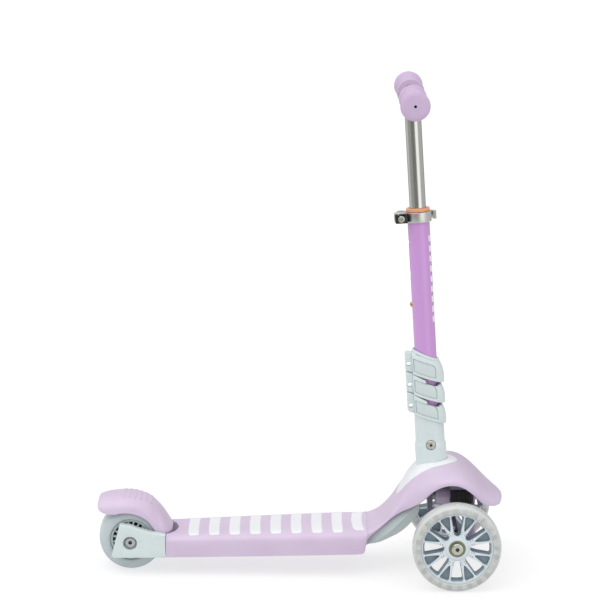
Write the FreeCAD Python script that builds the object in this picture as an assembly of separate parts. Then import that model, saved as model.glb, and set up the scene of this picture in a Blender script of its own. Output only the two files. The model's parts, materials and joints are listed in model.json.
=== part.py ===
"""Three-wheel lean-to-steer kick scooter for a child, as an assembly of separate pieces.

Frame: +X is forward, +Y is the rider's left, +Z is up, and Z = 0 is the ground under the three wheels.
The origin is on the ground at the middle of the overall box. All sizes are millimetres.

How it works: the deck, hood and stem are one rigid frame. A truck beam under the hood rolls on a fore-and-aft
pivot shaft. A peg on the frame moves the tie rod sideways as the beam rolls, and the tie rod turns both front
wheels on their kingpins, so leaning to the left steers to the left.
"""
import FreeCAD, Part
import math
import os

from FreeCAD import Vector

os.makedirs("parts", exist_ok=True)

# ---------------------------------------------------------------- driving dimensions
FRONT_R = 60.0            # front wheel radius
FRONT_WIDTH = 32.0        # front tyre width
TRACK = 244.0             # between the middles of the two front wheels
FRONT_AXLE_X = 212.0
REAR_R = 45.0             # rear wheel radius
REAR_AXLE_X = -234.0
REAR_END_X = -280.0       # back of the brake fender
NOSE_X = 280.0            # front of the hood

DECK_REAR_X = -185.0
DECK_FRONT_X = 89.0
DECK_THICK = 29.4
DECK_MID_Z = 44.5         # middle of the deck's thickness at X = 0
DECK_TILT = 1.6           # degrees, nose up
WALL = 3.0                # moulded plastic wall

STEM_LEAN = 3.47          # degrees, leaning back
STEM_BASE = Vector(182.8, 0, 140.0)
TUBE_R = 15.0             # outer stem tube
TUBE_WALL = 1.5
TUBE_TOP = 361.0          # along the stem from its base
MAST_R = 11.2             # sliding steel mast
MAST_WALL = 1.6
BAR_HEIGHT = 519.0        # crossbar's middle along the stem
HEIGHT_STEP = 43.0        # between the snap button's holes
BAR_HALF = 127.5          # half the width over the grips

PIVOT_Z = 100.0           # roll axis of the truck beam
KINGPIN_X = 230.0
KINGPIN_Y = 94.0
ARM = 22.0                # knuckle arm, kingpin to tie rod
ROD_Z = 74.5              # middle of the tie rod's thickness
ROD_X = KINGPIN_X - ARM

RUN = 0.05                # radial running clearance of a pin in its bore

AXLE_R = 4.0              # M8 axle bolts
BEARING_R = 11.0          # 608 bearing: 22 outside, 8 bore, 7 wide
BEARING_WIDTH = 7.0

Y_AXIS = Vector(0, 1, 0)
Z_AXIS = Vector(0, 0, 1)


# ---------------------------------------------------------------- helpers
def cylinder(radius, start, axis, length):
    return Part.makeCylinder(radius, length, Vector(*start), Vector(*axis))


def tube(outer, inner, start, axis, length):
    return cylinder(outer, start, axis, length).cut(cylinder(inner, start, axis, length))


def box(low, high):
    size = [h - l for l, h in zip(low, high)]
    return Part.makeBox(size[0], size[1], size[2], Vector(*low))


def fuse(*shapes):
    whole = shapes[0].multiFuse(list(shapes[1:])) if len(shapes) > 1 else shapes[0]
    return whole.removeSplitter()


def group(shapes):
    return Part.makeCompound(shapes)


def save(name, shape):
    solids = shape.Solids
    whole = solids[0] if len(solids) == 1 else Part.makeCompound(solids)
    whole.exportStep(f"parts/{name}.step")
    bound = whole.BoundBox
    print(f"{name:26s} solids {len(solids):2d} valid {whole.isValid()} volume {whole.Volume / 1000:8.2f} cm3 "
          f"x {bound.XMin:7.1f}..{bound.XMax:7.1f} y {bound.YMin:7.1f}..{bound.YMax:7.1f} "
          f"z {bound.ZMin:6.1f}..{bound.ZMax:6.1f}")


def revolve(profile, point):
    """Solid of revolution of a closed list of (along, radius) pairs about the line along Y through point."""
    wire = Part.makePolygon([Vector(point[0], point[1] + a, point[2] + r) for a, r in profile + profile[:1]])
    return Part.Face(wire).revolve(Vector(*point), Y_AXIS, 360)


def fillet_where(shape, radius, test):
    """Fillets the edges for which test(edge) is true, and leaves the shape alone if there are none."""
    edges = [e for e in shape.Edges if test(e)]
    return shape.makeFillet(radius, edges) if edges else shape


def on_deck(shape):
    """Carries a shape from the level deck frame (origin at mid thickness) to its tilted place."""
    placed = shape.copy()
    placed.rotate(Vector(0, 0, 0), Y_AXIS, -DECK_TILT)
    placed.translate(Vector(0, 0, DECK_MID_Z))
    return placed


def on_stem(shape):
    """Carries a shape from the upright stem frame (origin at the stem's base) to its leaning place."""
    placed = shape.copy()
    placed.rotate(Vector(0, 0, 0), Y_AXIS, -STEM_LEAN)
    placed.translate(STEM_BASE)
    return placed


# ---------------------------------------------------------------- domed shells: hood and brake fender
OPENING_SKIRT = 14.0      # how far a shell's hollow reaches down past its edge, so that it opens below


def dome_section(x, half_width, crown, edge, power, skirt=0.0):
    """Closed wire across X: a superellipse arch from edge to edge, closed by a straight bottom.

    skirt carries the two sides straight down below the edge by that much.
    """
    count = 16
    points = []
    for i in range(count + 1):
        t = math.pi * i / count
        c, s = math.cos(t), math.sin(t)
        y = half_width * math.copysign(abs(c) ** (2 / power), c)
        z = edge + (crown - edge) * s ** (2 / power) if s > 1e-9 else edge
        points.append(Vector(x, y, z))
    arch = Part.BSplineCurve()
    arch.interpolate(points)
    first, last = points[0], points[-1]
    down = Vector(0, 0, -skirt)
    edges = [arch.toShape()]
    if skirt:
        edges.append(Part.makeLine(last, last + down))
        edges.append(Part.makeLine(last + down, first + down))
        edges.append(Part.makeLine(first + down, first))
    else:
        edges.append(Part.makeLine(last, first))
    return Part.Wire(edges)


def dome_shell(stations, wall):
    """Shell through stations of (x, half width, crown, edge, power), open below."""
    outer = Part.makeLoft([dome_section(*st) for st in stations], True, False)
    inner_stations = [list(st) for st in stations]
    inner_stations[0][0] += wall
    inner_stations[-1][0] -= wall
    inner = [dome_section(x, b - wall, c - wall, e - 0.2 * wall, p, OPENING_SKIRT)
             for x, b, c, e, p in inner_stations]
    return outer.cut(Part.makeLoft(inner, True, False))


# stations: X, half width, crown height, edge height, superellipse power
HOOD = [
    (80.0, 61.0, 61.6, 47.0, 6.0),
    (96.0, 57.0, 64.0, 57.5, 4.0),
    (112.0, 51.0, 73.0, 69.5, 3.2),
    (126.0, 49.0, 88.5, 81.0, 2.9),
    (139.0, 51.0, 111.5, 89.5, 2.6),
    (152.0, 57.0, 131.0, 97.0, 2.5),
    (166.0, 68.0, 143.0, 108.0, 2.5),
    (180.0, 78.0, 149.0, 123.5, 2.5),
    (195.0, 83.0, 151.5, 132.5, 2.5),
    (210.0, 84.0, 152.0, 134.0, 2.5),
    (224.0, 83.0, 148.5, 130.5, 2.5),
    (238.0, 80.0, 140.0, 119.5, 2.4),
    (250.0, 74.0, 129.5, 107.0, 2.3),
    (261.0, 64.0, 117.5, 99.0, 2.2),
    (270.0, 51.0, 107.0, 93.0, 2.1),
    (276.5, 35.0, 99.5, 89.5, 2.0),
    (NOSE_X, 16.0, 95.0, 88.5, 2.0),
]

FENDER = [
    (REAR_END_X, 24.0, 98.0, 92.0, 2.4),
    (-276.0, 33.0, 99.3, 88.5, 2.5),
    (-269.0, 38.5, 101.2, 84.0, 2.6),
    (-258.0, 40.5, 104.2, 83.0, 2.7),
    (-244.0, 40.5, 105.5, 85.0, 2.7),
    (-230.0, 40.5, 103.8, 84.0, 2.7),
    (-218.0, 40.5, 100.0, 80.0, 2.7),
    (-207.0, 40.5, 94.0, 70.5, 2.7),
    (-198.0, 40.0, 87.0, 60.0, 2.6),
    (-190.0, 38.0, 78.5, 58.5, 2.5),
    (-182.0, 31.5, 68.5, 57.5, 2.4),
    (-175.0, 21.0, 61.5, 56.5, 2.3),
]


# ---------------------------------------------------------------- deck
DECK_REAR_HALF = 52.5     # half the deck's width at its back
DECK_FRONT_HALF = 62.0    # and from the shoulder forward
DECK_SHOULDER_X = 60.0


def deck_outline(inset, height, base):
    """Prism of the deck's plan outline, inset all round, in the deck frame. It widens towards the front."""
    right = [(DECK_REAR_X + inset, DECK_REAR_HALF - inset), (DECK_SHOULDER_X, DECK_FRONT_HALF - inset),
             (DECK_FRONT_X - inset, DECK_FRONT_HALF - inset)]
    corners = [Vector(x, -b, base) for x, b in right] + [Vector(x, b, base) for x, b in reversed(right)]
    return Part.Face(Part.makePolygon(corners + corners[:1])).extrude(Vector(0, 0, height))


BAR_PITCH = 28.4
BAR_FIRST_X = -147.0
BAR_COUNT = 9
BAR_WIDTH = 15.0
BAR_PROUD = 1.3
BAR_SUNK = 1.4
BAR_EDGE = 5.5            # from the bar's end to the deck's side


def deck_half(x):
    """Half the deck's width at x."""
    slope = (DECK_FRONT_HALF - DECK_REAR_HALF) / (DECK_SHOULDER_X - DECK_REAR_X)
    return min(DECK_REAR_HALF + slope * (x - DECK_REAR_X), DECK_FRONT_HALF)


def grip_bar(x, grow):
    """One rounded bar across the deck, grown all round by grow, in the deck frame."""
    top = DECK_THICK / 2
    half_x, half_y = BAR_WIDTH / 2 + grow, deck_half(x) - BAR_EDGE + grow
    bar = box((x - half_x, -half_y, top - BAR_SUNK - grow), (x + half_x, half_y, top + BAR_PROUD + grow))
    return fillet_where(bar, 4.0, lambda e: e.BoundBox.XLength < 1e-6 and e.BoundBox.YLength < 1e-6)


def deck_bars(grow):
    return [on_deck(grip_bar(BAR_FIRST_X + BAR_PITCH * i, grow)) for i in range(BAR_COUNT)]


RECESS = (-202.0, 33.5, 42.5)       # rear recess for the fender: middle X, half length, half width


def recess_prism(grow):
    middle, half_x, half_y = RECESS
    ring = Part.Ellipse(Vector(0, 0, 0), half_y + grow, half_x + grow).toShape()
    prism = Part.Face(Part.Wire(ring)).extrude(Vector(0, 0, 100))
    prism.rotate(Vector(0, 0, 0), Z_AXIS, 90)
    prism.translate(Vector(middle, 0, 0))
    return prism


def socket_clearance(grow):
    return on_stem(cylinder(SOCKET_R + grow, (0, 0, -40), (0, 0, 1), 80))


def deck_and_hood():
    """One lilac moulding: the hollow deck, and the domed hood that grows out of its front."""
    low = -DECK_THICK / 2
    deck = deck_outline(0, DECK_THICK, low)
    deck = fillet_where(deck, 14.0, lambda e: e.BoundBox.XMin > DECK_FRONT_X - 1 and e.BoundBox.YLength < 1e-6)
    deck = fillet_where(deck, 5.0, lambda e: e.BoundBox.ZMin > DECK_THICK / 2 - 1e-3)
    hollow = deck_outline(WALL, DECK_THICK - WALL, low - 0.01)
    # the wall round the rear recess stays in the hollow
    hollow = on_deck(hollow).cut(recess_prism(WALL))
    body = on_deck(deck).cut(hollow)
    body = body.fuse(dome_shell(HOOD, WALL))
    body = body.cut(recess_prism(0)).cut(socket_clearance(0.4))
    for side in (1, -1):
        body = body.cut(bracket_tongue(side, 0.3))
    for bar in deck_bars(0.1):
        body = body.cut(bar)
    return body


def under_shell():
    """Mint tray that closes the neck from below, between the deck's front end and the front wheels."""
    outline = [(90.0, 41.0), (108.0, 43.5), (124.0, 50.0), (138.0, 57.5), (149.0, 66.5), (160.0, 78.0),
               (168.0, 90.0), (172.0, 103.0), (160.0, 100.0), (150.0, 93.0), (138.0, 84.0), (124.0, 74.0),
               (110.0, 62.0), (98.0, 53.0), (90.0, 49.0)]
    half = 45.0
    wire = Part.makePolygon([Vector(x, -half, z) for x, z in outline + outline[:1]])
    tray = Part.Face(wire).extrude(Vector(0, 2 * half, 0))
    lower = outline[:8]
    inner = [(x - 1.5, z + WALL) for x, z in lower]
    inner[0] = (93.0, 41.0 + WALL)
    inner += [(165.0, 125.0), (93.0, 75.0)]
    wire = Part.makePolygon([Vector(x, WALL - half, z) for x, z in inner + inner[:1]])
    return tray.cut(Part.Face(wire).extrude(Vector(0, 2 * (half - WALL), 0)))


def head_cap():
    """Mint cap over the hood's crown, round the foot of the stem."""
    stations = [st for st in HOOD if 120 < st[0] < 240]
    outer = Part.makeLoft([dome_section(x, b + 2, c + 6, e, p) for x, b, c, e, p in stations], True, False)
    inner = [dome_section(x, b + 0.4, c + 0.4, e - 1, p, 20) for x, b, c, e, p in stations]
    inner = Part.makeLoft(inner, True, False)
    middle, half_x, half_y = 176.0, 42.0, 36.0
    plan = Part.Face(Part.Wire(Part.Ellipse(Vector(middle, 0, 60), half_x, half_y).toShape()))
    cap = outer.common(plan.extrude(Vector(0, 0, 140))).cut(inner)
    return cap.cut(socket_clearance(0.3))


# ---------------------------------------------------------------- rear end
ARM_INNER, ARM_OUTER = 39.0, 54.0
ARM_FRONT_X = -185.6
TONGUE_TOP, TONGUE_BOTTOM = 46.0, 32.0
HINGE_X, HINGE_Z, HINGE_PIN_R = -191.0, 52.0, 2.5
HINGE_PIN_END = 52.5      # the fender's pins stop short of the arms' outer faces


def bracket_tongue(side, grow):
    low, high = sorted((side * (40.0 - grow), side * (48.0 + grow)))
    return box((-186.0, low, TONGUE_BOTTOM - grow), (-160.0, high, TONGUE_TOP + grow))


def rear_bracket():
    """Two arms that carry the rear axle, and the tongues and crosspiece that key them into the deck."""
    outline = [(ARM_FRONT_X, 56.5), (-206, 60.3), (-220, 64.5), (-234, 69.5), (-248, 71.6), (-259.6, 27.5),
               (-257, 24.6), (ARM_FRONT_X, 24.9)]
    whole = []
    for side in (1, -1):
        low = ARM_INNER if side > 0 else -ARM_OUTER
        wire = Part.makePolygon([Vector(x, low, z) for x, z in outline + outline[:1]])
        arm = Part.Face(wire).extrude(Vector(0, ARM_OUTER - ARM_INNER, 0))
        arm = fillet_where(arm, 2.0, lambda e: e.BoundBox.XMax < -200 and e.BoundBox.YLength > 10)
        arm = arm.cut(cylinder(9.6, (REAR_AXLE_X, side * 44.0, REAR_R), (0, side, 0), 20))
        arm = arm.cut(cylinder(AXLE_R, (REAR_AXLE_X, side * 30.0, REAR_R), (0, side, 0), 30))
        depth = HINGE_PIN_END - 30.0
        arm = arm.cut(cylinder(HINGE_PIN_R, (HINGE_X, side * 30.0, HINGE_Z), (0, side, 0), depth))
        arm = arm.cut(cylinder(6.2, (HINGE_X, side * 30.0, HINGE_Z), (0, side, 0), 15))
        whole += [arm, bracket_tongue(side, 0)]
    whole.append(box((-164.5, -48, TONGUE_BOTTOM), (-160, 48, TONGUE_BOTTOM + 8)))
    return fuse(*whole)


FENDER_WALL = 2.6


def brake_fender():
    """Lilac rear fender. Its skirts carry the two hinge bosses, and the rider presses it onto the wheel."""
    shell = dome_shell(FENDER, FENDER_WALL)
    for side in (1, -1):
        boss = cylinder(5.2, (HINGE_X, side * 35.4, HINGE_Z), (0, side, 0), 2.6)
        low, high = sorted((side * 35.4, side * 38))
        web = box((HINGE_X - 5.2, low, HINGE_Z), (HINGE_X + 5.2, high, 60))
        shell = shell.fuse(boss).fuse(web)
        shell = shell.cut(cylinder(HINGE_PIN_R + RUN, (HINGE_X, side * 30, HINGE_Z), (0, side, 0), 12))
    return shell.removeSplitter()


def brake_pad():
    """Steel brake shoe inside the fender, an arc round the rear wheel on two legs up to the fender."""
    width = 30.0
    ring = tube(51.5, 49.0, (REAR_AXLE_X, -width / 2, REAR_R), (0, 1, 0), width)
    shoe = ring.common(box((REAR_AXLE_X - 17, -width, REAR_R), (REAR_AXLE_X + 15, width, 120)))
    legs = [cylinder(3.0, (REAR_AXLE_X - 4, y, REAR_R + 50.5), (0, 0, 1), 6.4) for y in (-9, 9)]
    return fuse(shoe, *legs)


def fender_hinge_pins():
    """One blind pin on each side, pressed into its arm from inside."""
    inner = 35.0
    return group([cylinder(HINGE_PIN_R, (HINGE_X, side * inner, HINGE_Z), (0, side, 0), HINGE_PIN_END - inner)
                  for side in (1, -1)])


def fender_springs():
    """Torsion springs round the hinge pins, in the arms' counterbores: three closed coils each."""
    wire_r, coil_r = 0.8, 4.6
    coils = []
    for side in (1, -1):
        for i in range(3):
            middle = Vector(HINGE_X, side * (40.2 + 1.65 * i), HINGE_Z)
            coils.append(Part.makeTorus(coil_r, wire_r, middle, Y_AXIS))
    return group(coils)


def hex_prism(flats, start, axis, length):
    """Hexagonal bar with its axis along Y or Z."""
    corners = []
    for i in range(7):
        a = math.radians(60 * i + 30)
        r = flats / math.sqrt(3)
        corners.append(Vector(r * math.cos(a), r * math.sin(a), 0))
    prism = Part.Face(Part.makePolygon(corners)).extrude(Vector(0, 0, length))
    turn = FreeCAD.Rotation(Z_AXIS, Vector(*axis))
    prism.Placement = FreeCAD.Placement(Vector(*start), turn)
    return prism


def button_bolt(head_r, head_h, shank_r, start, axis, length):
    """Button-head bolt with a hex socket: start is under the head, axis points along the shank."""
    back = (-axis[0], -axis[1], -axis[2])
    head = cylinder(head_r, start, back, head_h)
    rim = [e for e in head.Edges if isinstance(e.Curve, Part.Circle)]
    far = max(rim, key=lambda e: (e.CenterOfMass - Vector(*start)).Length)
    head = head.makeFillet(head_h * 0.6, [far])
    top = tuple(s + b * (head_h + 0.1) for s, b in zip(start, back))
    bolt = fuse(head, cylinder(shank_r, start, axis, length))
    return bolt.cut(hex_prism(head_r * 0.62, top, axis, head_h * 0.65))


def rear_axle_bolt():
    return button_bolt(8.2, 4.5, AXLE_R - RUN, (REAR_AXLE_X, -44.0, REAR_R), (0, 1, 0), 96.0)


def rear_axle_nut():
    start = (REAR_AXLE_X, 44.1, REAR_R)
    return hex_prism(13.0, start, (0, 1, 0), 6.5).cut(cylinder(AXLE_R, start, (0, 1, 0), 7))


def bearings(point, offsets):
    """608 bearings whose outward faces are at the given offsets along Y, towards the wheel's middle."""
    whole = []
    for offset in offsets:
        start = (point[0], point[1] + offset, point[2])
        axis = (0, -math.copysign(1, offset), 0)
        ring = tube(BEARING_R, AXLE_R, start, axis, BEARING_WIDTH)
        groove = tube(BEARING_R - 2.2, AXLE_R + 2.0, start, axis, 0.6)
        whole.append(ring.cut(groove))
    return group(whole)


REAR_HUB_HALF = 31.0


def rear_wheel_core():
    """Spool-shaped core: rim and hub joined by a disc and eight ribs, with a bearing seat in each end."""
    axle = (REAR_AXLE_X, 0, REAR_R)
    half = REAR_HUB_HALF
    core = tube(28.0, 25.0, (REAR_AXLE_X, -half, REAR_R), (0, 1, 0), 2 * half)
    hub = tube(14.0, 8.0, (REAR_AXLE_X, -half, REAR_R), (0, 1, 0), 2 * half)
    whole = core.fuse(hub)
    for i in range(8):
        rib = box((12, -half + 2, -1.3), (26.5, half - 2, 1.3))
        rib.rotate(Vector(0, 0, 0), Y_AXIS, 45 * i + 22.5)
        rib.translate(Vector(*axle))
        whole = whole.fuse(rib)
    disc = tube(26.0, 13.0, (REAR_AXLE_X, -3, REAR_R), (0, 1, 0), 6)
    whole = whole.fuse(disc)
    for side in (1, -1):
        start = (REAR_AXLE_X, side * (half - BEARING_WIDTH), REAR_R)
        whole = whole.cut(cylinder(BEARING_R, start, (0, side, 0), 10))
    return whole.removeSplitter()


def rear_tyre():
    half = [(-31, 28.0), (-33.5, 30.5), (-34, 34.0), (-31.5, 39.0), (-26, 42.2), (-16, 44.3)]
    mirrored = [(-along, radius) for along, radius in reversed(half)]
    return revolve(half + [(0, REAR_R)] + mirrored, (REAR_AXLE_X, 0, REAR_R))


def rear_axle_spacers():
    """Sleeve between the two bearings, and one from each bearing to its arm."""
    half = REAR_HUB_HALF
    runs = [(-half + BEARING_WIDTH + 0.1, half - BEARING_WIDTH - 0.1), (half + 0.1, ARM_INNER - 0.1),
            (-ARM_INNER + 0.1, -half - 0.1)]
    return group([tube(6.0, AXLE_R, (REAR_AXLE_X, a, REAR_R), (0, 1, 0), b - a) for a, b in runs])


# ---------------------------------------------------------------- truck under the hood
SHAFT_R = 6.0
HUB_REAR_X, HUB_FRONT_X = 188.0, 243.0
BEAM_LOW, BEAM_HIGH = 84.0, 98.0
PLATE_LOW, PLATE_HIGH = 120.0, 124.0
RUBBER_X, RUBBER_Y, RUBBER_R = 223.5, 30.5, 16.2


def truck_bracket():
    """Steel bracket that hangs from the stem socket: top plate, two legs for the pivot shaft, and a foot."""
    rear_x, front_x, half = 177.0, 253.0, 14.0
    plate = box((rear_x, -26, PLATE_LOW), (front_x - 4, 26, PLATE_HIGH))
    wings = box((RUBBER_X - 17, -47, PLATE_LOW), (RUBBER_X + 17, 47, PLATE_HIGH))
    rear_leg = box((rear_x, -half, 78.6), (HUB_REAR_X - 4, half, PLATE_HIGH))
    front_leg = box((HUB_FRONT_X + 4, -half, 88), (front_x, half, PLATE_LOW + 1))
    foot = box((rear_x, -6, 78.6), (ROD_X + 5, 6, 81.0))
    posts = [cylinder(5.0, (236, y, PLATE_HIGH - 1), (0, 0, 1), 11.0) for y in (-13, 13)]
    whole = fuse(plate, wings, rear_leg, front_leg, foot, *posts)
    return whole.cut(cylinder(SHAFT_R, (150, 0, PIVOT_Z), (1, 0, 0), 150))


def steering_peg():
    """Peg riveted into the foot: it holds the tie rod's middle still while the truck rolls."""
    return cylinder(3.0, (ROD_X, 0, 70.5), (0, 0, 1), 8.0)


def pivot_shaft():
    return cylinder(SHAFT_R, (174, 0, PIVOT_Z), (1, 0, 0), 82)


def truck_beam():
    """Lilac cross beam: a hub on the pivot shaft, two arms, and an upright kingpin boss on each end."""
    hub = cylinder(13.0, (HUB_REAR_X, 0, PIVOT_Z), (1, 0, 0), HUB_FRONT_X - HUB_REAR_X)
    pads = box((RUBBER_X - 16.5, -47, BEAM_LOW), (RUBBER_X + 16.5, 47, BEAM_HIGH))
    arms = box((KINGPIN_X - 8, -KINGPIN_Y, BEAM_LOW), (KINGPIN_X + 8, KINGPIN_Y, BEAM_HIGH))
    bosses = [cylinder(9.0, (KINGPIN_X, side * KINGPIN_Y, BEAM_LOW), (0, 0, 1), 18) for side in (1, -1)]
    beam = fuse(hub, pads, arms, *bosses)
    beam = beam.cut(cylinder(SHAFT_R + RUN, (180, 0, PIVOT_Z), (1, 0, 0), 80))
    for side in (1, -1):
        beam = beam.cut(cylinder(AXLE_R + RUN, (KINGPIN_X, side * KINGPIN_Y, 70), (0, 0, 1), 50))
    return beam


def roll_rubbers():
    """Two fluted rubber cushions between the beam and the bracket's top plate."""
    flutes = 24
    corners = []
    for i in range(2 * flutes):
        r = RUBBER_R if i % 2 else RUBBER_R - 1.2
        a = math.pi * i / flutes
        corners.append(Vector(RUBBER_X + r * math.cos(a), r * math.sin(a), BEAM_HIGH + 0.4))
    outline = Part.Face(Part.makePolygon(corners + corners[:1]))
    block = outline.extrude(Vector(0, 0, PLATE_LOW - BEAM_HIGH - 0.6))
    blocks = []
    for side in (1, -1):
        placed = block.copy()
        placed.translate(Vector(0, side * RUBBER_Y, 0))
        blocks.append(placed)
    return group(blocks)


def tie_rod():
    """Flat bar with slotted holes: one for the peg in the middle and one for the pin of each knuckle."""
    bar = box((ROD_X - 7, -KINGPIN_Y - 7, ROD_Z - 2.5), (ROD_X + 7, KINGPIN_Y + 7, ROD_Z + 2.5))
    bar = fillet_where(bar, 5.0, lambda e: e.BoundBox.XLength < 1e-6 and e.BoundBox.YLength < 1e-6)
    for y, radius in ((-KINGPIN_Y, 3.4), (0, 3.8), (KINGPIN_Y, 3.4)):
        for x in (-0.8, 0.8):
            bar = bar.cut(cylinder(radius, (ROD_X + x, y, 60), (0, 0, 1), 30))
        bar = bar.cut(box((ROD_X - 0.8, y - radius, 60), (ROD_X + 0.8, y + radius, 90)))
    return bar


def knuckle(side):
    """Lilac steering knuckle: kingpin boss, axle boss, and an arm with the tie rod's pin."""
    y = side * KINGPIN_Y
    low, high = y - 6, y + 6
    upright = cylinder(9.0, (KINGPIN_X, y, 60), (0, 0, 1), BEAM_LOW - 0.4 - 60)
    axle_boss = cylinder(10.0, (FRONT_AXLE_X, side * 86, FRONT_R), (0, side, 0), 17.5)
    link = box((FRONT_AXLE_X - 9, low, 56), (KINGPIN_X, high, 71.4))
    pin = cylinder(3.0, (ROD_X, y, 68), (0, 0, 1), 12.0)
    whole = fuse(upright, axle_boss, link, pin)
    whole = whole.cut(cylinder(AXLE_R, (KINGPIN_X, y, 50), (0, 0, 1), 60))
    return whole.cut(cylinder(AXLE_R, (FRONT_AXLE_X, side * 80, FRONT_R), (0, side, 0), 40))


def kingpin(side):
    start = (KINGPIN_X, side * KINGPIN_Y, 102.3)
    return button_bolt(7.0, 4.0, AXLE_R, start, (0, 0, -1), 41.0)


# ---------------------------------------------------------------- front wheels
WHEEL_Y = TRACK / 2
HUB_HALF = 12.0
CORE_R = 48.5


def front_wheel_core(side):
    """Pale core: hub, eight windows right through, eight blind pockets on each face, and the rim ring."""
    y = side * WHEEL_Y
    core = revolve([(-HUB_HALF, 8.5), (-HUB_HALF, 14.5), (-10, 16.0), (-10, 45.0), (-13, 45.8), (-13, CORE_R),
                    (13, CORE_R), (13, 45.8), (10, 45.0), (10, 16.0), (HUB_HALF, 14.5), (HUB_HALF, 8.5)],
                   (0, 0, 0))
    window = Part.makePolygon([Vector(r, -20, w) for r, w in
                               [(18, -1.5), (20, -3.0), (32, -4.8), (44.0, -9.3), (45.0, 0), (44.0, 9.3),
                                (32, 4.8), (20, 3.0), (18, 1.5), (18, -1.5)]])
    window = Part.Face(window).extrude(Vector(0, 40, 0))
    pocket = [(28.5, 0), (44.0, -6.0), (45.0, 0), (44.0, 6.0), (28.5, 0)]
    for i in range(8):
        cutter = window.copy()
        cutter.rotate(Vector(0, 0, 0), Y_AXIS, 45 * i)
        core = core.cut(cutter)
        for face in (1, -1):
            wire = Part.makePolygon([Vector(r, 3.0 * face, w) for r, w in pocket])
            cutter = Part.Face(wire).extrude(Vector(0, 12 * face, 0))
            cutter.rotate(Vector(0, 0, 0), Y_AXIS, 45 * i + 22.5)
            core = core.cut(cutter)
    for face in (1, -1):
        core = core.cut(cylinder(BEARING_R, (0, face * (HUB_HALF - BEARING_WIDTH), 0), (0, face, 0), 20))
    core.translate(Vector(FRONT_AXLE_X, y, FRONT_R))
    return core


def front_tyre(side):
    half = FRONT_WIDTH / 2
    return revolve([(-13, CORE_R), (-half, 50.5), (-half, 55.0), (-13, 58.6), (-8, FRONT_R), (8, FRONT_R),
                    (13, 58.6), (half, 55.0), (half, 50.5), (13, CORE_R)],
                   (FRONT_AXLE_X, side * WHEEL_Y, FRONT_R))


def front_bearings(side):
    return bearings((FRONT_AXLE_X, side * WHEEL_Y, FRONT_R), (HUB_HALF, -HUB_HALF))


def led_ring(side):
    """Coil ring in the hub whose lamps flash as the magnet sleeve goes round inside it."""
    start = (FRONT_AXLE_X, side * WHEEL_Y - 4.5, FRONT_R)
    return tube(8.4, 6.6, start, (0, 1, 0), 9.0)


def front_axle_bolt(side):
    start = (FRONT_AXLE_X, side * (WHEEL_Y + HUB_HALF + 0.1), FRONT_R)
    return button_bolt(8.2, 3.9, AXLE_R - RUN, start, (0, -side, 0), 56.0)


def front_axle_nut(side):
    start = (FRONT_AXLE_X, side * 85.9, FRONT_R)
    return hex_prism(13.0, start, (0, -side, 0), 6.5).cut(cylinder(AXLE_R, start, (0, -side, 0), 7))


def bearing_sleeves(side):
    """Magnet sleeve between the bearings, and the spacer from the inner bearing to the knuckle."""
    y0 = WHEEL_Y - HUB_HALF
    runs = [(y0 + BEARING_WIDTH + 0.1, WHEEL_Y + HUB_HALF - BEARING_WIDTH - 0.1), (103.6, y0 - 0.1)]
    return group([tube(5.8, AXLE_R, (FRONT_AXLE_X, side * a, FRONT_R), (0, side, 0), b - a) for a, b in runs])


# ---------------------------------------------------------------- stem
SOCKET_R = 21.0
SOCKET_TOP = 65.0
BOLT_S = 36.5             # socket bolt, along the stem
BOLT_SEAT = 18.5          # seat of its head and nut, from the stem's axis
FLANGE_HOLES = (90.0, 119.5, 149.0)
FLANGE_HOLE_R = 3.2
FLANGE_HOLE_X = -24.0
BUTTON_S = 231.7
TUBE_BORE = TUBE_R - TUBE_WALL


def up(radius, low, high, x=0.0, y=0.0):
    """Cylinder along the stem between two heights, in the stem frame."""
    return cylinder(radius, (x, y, low), (0, 0, 1), high - low)


def stem_socket():
    """Mint socket that clamps the foot of the outer tube and stands on the truck bracket."""
    socket = up(SOCKET_R, -30, SOCKET_TOP).cut(up(TUBE_R + 0.05, -6, 100)).cut(up(9.0, -40, 0))
    socket = socket.cut(cylinder(AXLE_R - 1, (0, -30, BOLT_S), (0, 1, 0), 60))
    for side in (1, -1):
        socket = socket.cut(cylinder(7.0, (0, side * (BOLT_SEAT - 0.1), BOLT_S), (0, side, 0), 10))
    socket = on_stem(socket)
    return socket.cut(box((100, -50, 60), (260, 50, PLATE_HIGH)))


def socket_bolt():
    bolt = button_bolt(6.4, 3.4, 2.95, (0, -BOLT_SEAT, BOLT_S), (0, 1, 0), 40.0)
    nut = hex_prism(10.0, (0, BOLT_SEAT, BOLT_S), (0, 1, 0), 3.4).cut(
        cylinder(3.0, (0, 0, BOLT_S), (0, 1, 0), 40))
    return on_stem(group([bolt, nut]))


def stem_tube():
    pipe = up(TUBE_R, -6, TUBE_TOP).cut(up(TUBE_BORE, -10, TUBE_TOP + 5))
    pipe = pipe.cut(cylinder(3.0, (0, -30, BOLT_S), (0, 1, 0), 60))
    for i in range(3):
        pipe = pipe.cut(cylinder(4.3, (-30, 0, BUTTON_S + HEIGHT_STEP * i), (1, 0, 0), 30))
    return on_stem(pipe)


STRIPE_COUNT = 9
STRIPE_PITCH = 14.0
STRIPE_FIRST_S = 208.0


def tube_stripes():
    """Plain white bars on the front of the outer tube."""
    ring = up(TUBE_R + 0.7, 0, 6.0).cut(up(TUBE_R + 0.02, -1, 7)).common(box((10.5, -9, -1), (20, 9, 7)))
    stripes = []
    for i in range(STRIPE_COUNT):
        placed = ring.copy()
        placed.translate(Vector(0, 0, STRIPE_FIRST_S + STRIPE_PITCH * i))
        stripes.append(on_stem(placed))
    return group(stripes)


SLEEVE_R = 23.6
SLEEVE_LOW, SLEEVE_TOP = 63.0, 172.0
SLEEVE_BACK_X = -20.5
SLANT = 20.0              # the claws' slope, degrees, down towards the front


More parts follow.
